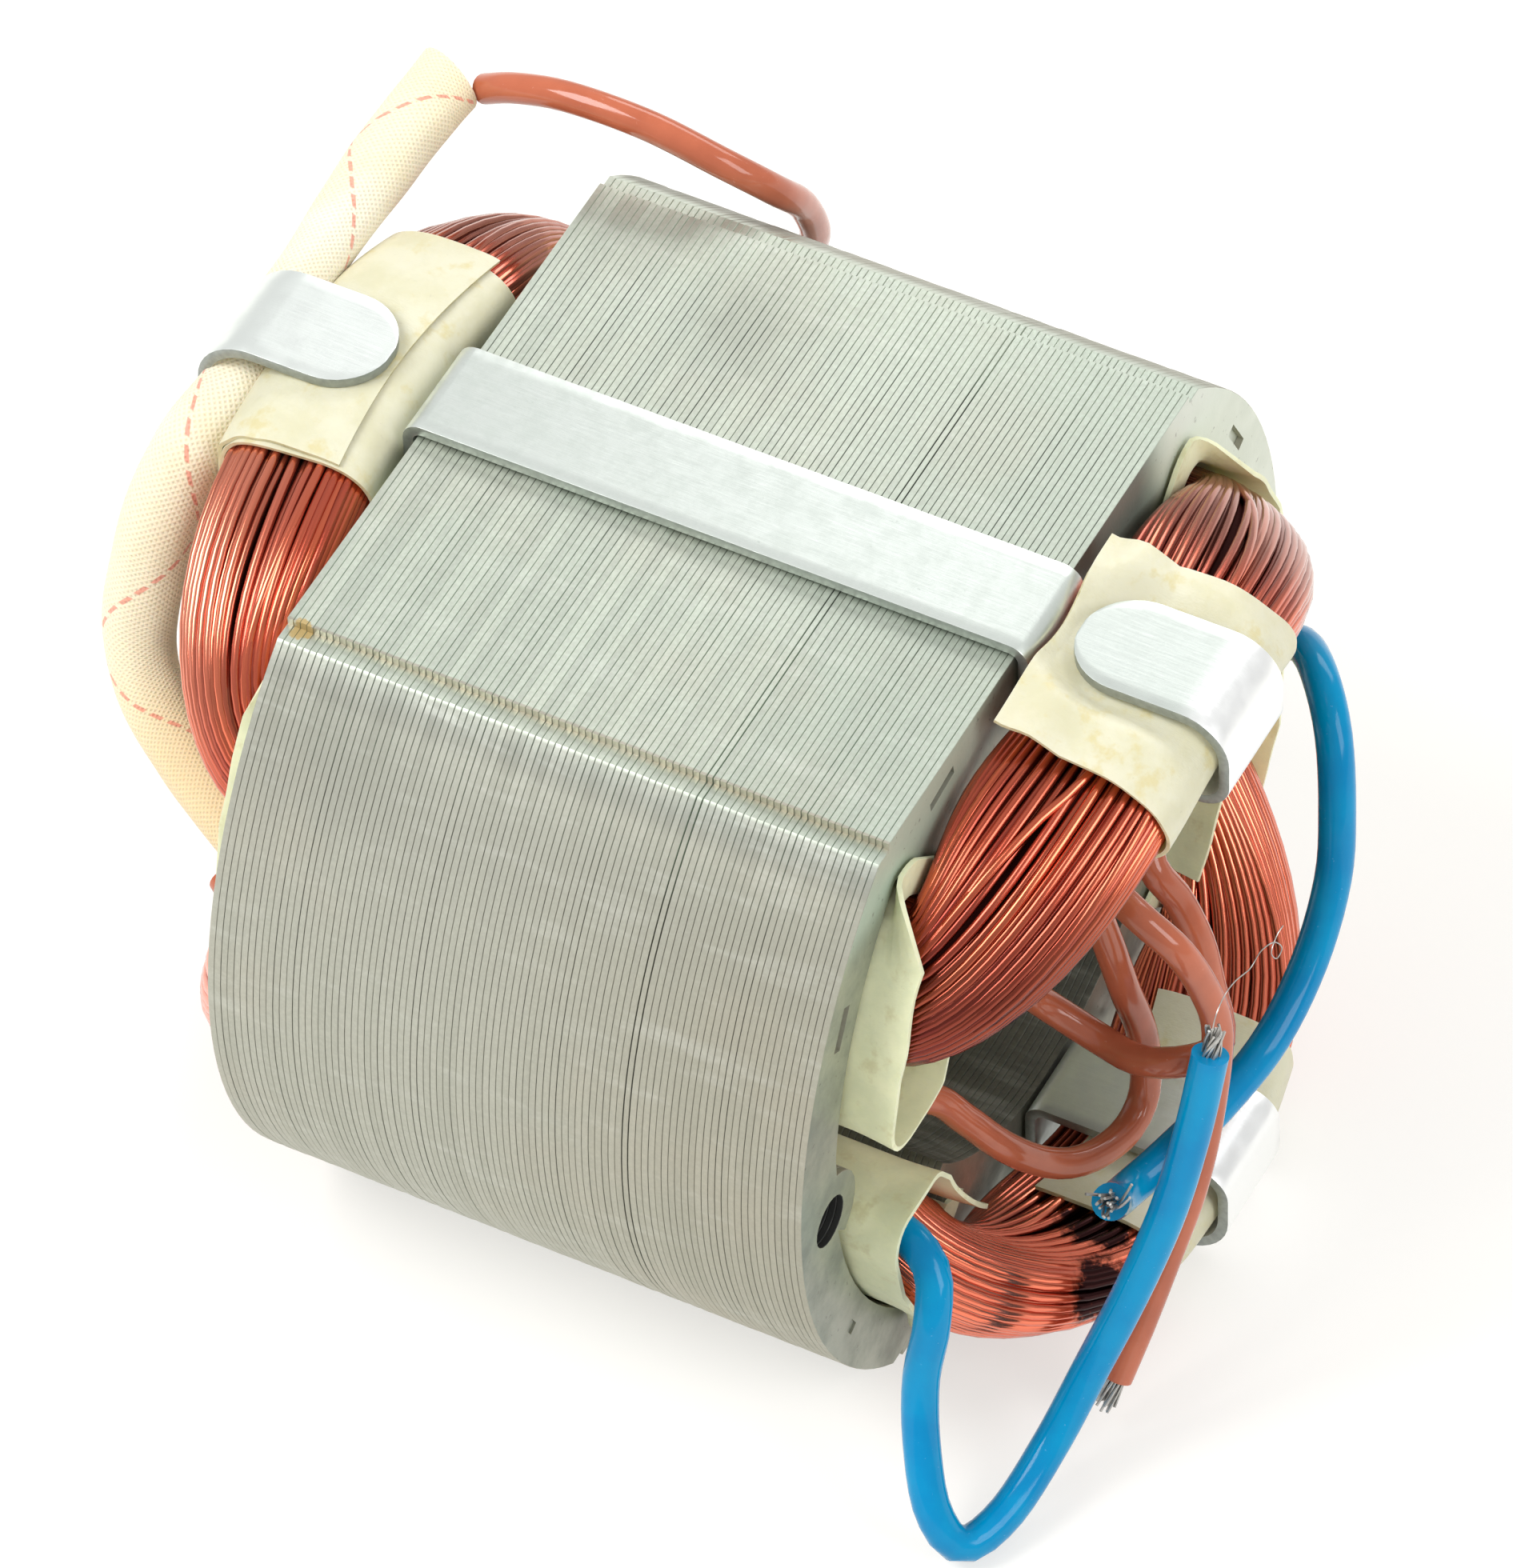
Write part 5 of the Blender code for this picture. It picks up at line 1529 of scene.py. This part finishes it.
def strip_half(level, front):
    """The strip's middle line from the strap's middle to the tip: x, height and share of the width."""
    inner, outer, bottom, top = end_of(level, front)[:4]
    half = STRIP_THICKNESS / 2
    film = 2 * CLEARANCE + WRAP_THICKNESS
    strap = FLAT_HEIGHT + CLEARANCE + half
    neck = HALF_STACK + CLEARANCE + half
    under = bottom - END_SAG - film - half
    over = top + film + half
    nose = HALF_STACK + outer + film + half
    if level > 0 and front < 0:
        nose += SLEEVE_DIAMETER * SLEEVE_PINCH + CLEARANCE
    shoulder = nose - TAB_BEND
    tip = nose + half - TAB_REACH
    line = rounded([(0.0, strap), (neck, strap), (neck, under), (shoulder, under)], STRIP_BEND, 6)
    curl = rounded([(shoulder, under), (nose, under), (nose, over), (tip, over)], TAB_BEND, 9)
    rows = [(x, z, 1.0) for x, z in line + curl[1:-1]]
    for i in range(TIP_ROWS):
        turn = math.pi / 2 * i / TIP_ROWS
        rows.append((tip + STRIP_WIDTH / 2 * (1 - math.sin(turn)), over, math.cos(turn)))
    return rows


print("rows in half a clip:", len(strip_half(1, 1)))

# %% Clips
def clip_rows(level):
    """The whole strip from its rear tip to its front one, in rows across it."""
    rear = [(-x, z, share) for x, z, share in reversed(strip_half(level, -1))]
    rows = []
    for x, z, share in rear + strip_half(level, 1)[1:]:
        half = share * STRIP_WIDTH / 2
        rows.append([(x, half * column / 4, AXIS_HEIGHT + level * z) for column in range(-4, 5)])
    return rows


clips = []
for word, level in (("upper", 1), ("lower", -1)):
    clip = sheet_through(word + "_clip_strip", clip_rows(level))
    thicken(clip, STRIP_THICKNESS, own_edges=True)
    corners = math.radians(50)
    modify(clip, "BEVEL", width=STRIP_EDGE_ROUND, segments=2, limit_method="ANGLE", angle_limit=corners)
    clips.append((clip, word + "_clip"))
print("clips:", len(clips))

# %% [markdown]
# Zinc plating is a pale metal, faintly mottled by its crystals and marked by handling: small dark specks,
# fine scratches along the strip and a duller sheen in patches. The rear end is painted lighter as painted
# light, the front end darker as painted shade, and the front tab's bend near white as a painted highlight.
# The sheared edges of the strip are bare grey steel.

# %% Finish of the zinc strip
ZINC = ((0.74, 0.79, 0.745), (0.63, 0.68, 0.635))
ZINC_MARK = (0.36, 0.42, 0.37)
ZINC_SCRATCH = (0.92, 0.95, 0.93)
# Painted light at the rear end, painted shade at the front end and a painted highlight on the front bend
REAR_LIT_ZINC = (0.88, 0.92, 0.89)
TAB_SHADED_ZINC = (0.62, 0.67, 0.63)
BEND_HIGHLIGHT_ZINC = (0.97, 0.98, 0.97)
BARE_STEEL = ((0.44, 0.47, 0.44), (0.20, 0.22, 0.20))


def zinc_finish():
    made, shader = start_finish("zinc_strip")
    point = piece_point(made)
    x, _, _ = split(made, point)
    mottle = cloud(made, point, 1.8 * MM, 5.0, 0.6)
    marks = cloud(made, piece_point(made, (0.5, 1.0, 1.0)), 0.7 * MM, 5.0, 0.7)
    scratches = cloud(made, piece_point(made, (0.25, 3.0, 1.0)), 1.2 * MM, 6.0, 0.75)
    zinc = lay_over(
        made, ZINC[0],
        (fade(made, mottle, 0.35, 0.68), ZINC[1]),
        (fade(made, marks, 0.66, 0.75, 0.0, 0.55), ZINC_MARK),
        (fade(made, scratches, 0.6, 0.72, 0.0, 0.2), ZINC_SCRATCH),
        # Painted light at the rear, painted shade at the front and a painted highlight on the front bend
        (fade(made, x, -22 * MM, -28 * MM, 0.0, 0.7), REAR_LIT_ZINC),
        (fade(made, x, 20 * MM, 26 * MM, 0.0, 0.5), TAB_SHADED_ZINC),
        (fade(made, x, 34 * MM, 36.5 * MM), BEND_HIGHLIGHT_ZINC),
    )
    fill(made, shader, Base_Color=zinc, Metallic=0.7)
    fill(made, shader, Roughness=fade(made, mottle, 0.3, 0.7, 0.28, 0.4))
    fill(made, shader, Normal=bumps(made, scratches, 0.012 * MM))
    return made


def sheared_finish():
    made, shader = start_finish("sheared_edge")
    grain = cloud(made, piece_point(made), 0.5 * MM, 4.0)
    fill(made, shader, Base_Color=blend_colour(made, grain, *BARE_STEEL), Metallic=0.7, Roughness=0.42)
    return made


zinc_strip, sheared_edge = zinc_finish(), sheared_finish()
for clip, name in clips:
    settle_with_edges(clip, zinc_strip, sheared_edge, "zinc_strip", name, 35)

# %% [markdown]
# The table is a plain pale surface. For rays from the camera, from gloss and through glass it adds a
# steady glow to its own soft shade, so that it reads white and still keeps the stator's shadow, while the
# light that it throws on the stator is only that of pale paper.

# %% Table
TABLE_SIZE = 6.0
TABLE_SHADE = (0.42, 0.41, 0.39, 1)
TABLE_GLOW = (1.0, 0.992, 0.968, 1)
TABLE_GLOW_STRENGTH = 0.60
TABLE_PAPER = (0.82, 0.81, 0.79, 1)


def table_finish():
    made, _ = start_finish("pale_table")
    shade = add_node(made, "ShaderNodeBsdfDiffuse", {"Color": TABLE_SHADE})
    glow = add_node(made, "ShaderNodeEmission", {"Color": TABLE_GLOW, "Strength": TABLE_GLOW_STRENGTH})
    seen = add_node(made, "ShaderNodeAddShader", {0: shade.outputs[0], 1: glow.outputs[0]})
    paper = add_node(made, "ShaderNodeBsdfDiffuse", {"Color": TABLE_PAPER})
    ray = add_node(made, "ShaderNodeLightPath").outputs
    look = sums(made, "MAXIMUM", ray["Is Glossy Ray"], ray["Is Transmission Ray"])
    look = sums(made, "MAXIMUM", ray["Is Camera Ray"], look)
    both = add_node(made, "ShaderNodeMixShader", {0: look, 1: paper.outputs[0], 2: seen.outputs[0]})
    fill(made, made.node_tree.nodes["Material Output"], Surface=both.outputs[0])
    return made


bpy.ops.mesh.primitive_plane_add(size=TABLE_SIZE, location=(0, 0, 0))
table = bpy.context.active_object
table.name = "table"
table.data.materials.append(table_finish())
print("table finish:", table.data.materials[0].name)

# %% [markdown]
# Soft studio light: one broad lamp high on the left, weaker ones on the right and behind, and an even
# pale sky. Broad lamps give metal long soft highlights and the table a faint shadow.

# %% Lamps and sky
LAMP_AIM = Vector((0, 0, 0.03))
SKY_STRENGTH = 0.55


def lamp(name, place, size, power):
    """A rectangular lamp that faces the stator."""
    light = bpy.data.lights.new(name, "AREA")
    light.shape = "RECTANGLE"
    light.size, light.size_y = size
    light.energy = power
    obj = new_object(name, light)
    obj.location = place
    obj.rotation_euler = (LAMP_AIM - Vector(place)).to_track_quat("-Z", "Y").to_euler()


lamp("key_lamp", (-0.45, -0.35, 0.75), (0.5, 0.5), 7.0)
lamp("side_lamp", (0.65, -0.1, 0.5), (0.35, 0.5), 2.6)
lamp("back_lamp", (0.0, 0.7, 0.55), (0.7, 0.3), 2.5)
sky = bpy.data.worlds.new("sky")
sky.use_nodes = True
fill(sky, sky.node_tree.nodes["Background"], Color=(1, 1, 1, 1), Strength=SKY_STRENGTH)
bpy.context.scene.world = sky
bpy.context.scene.view_settings.view_transform = "Standard"
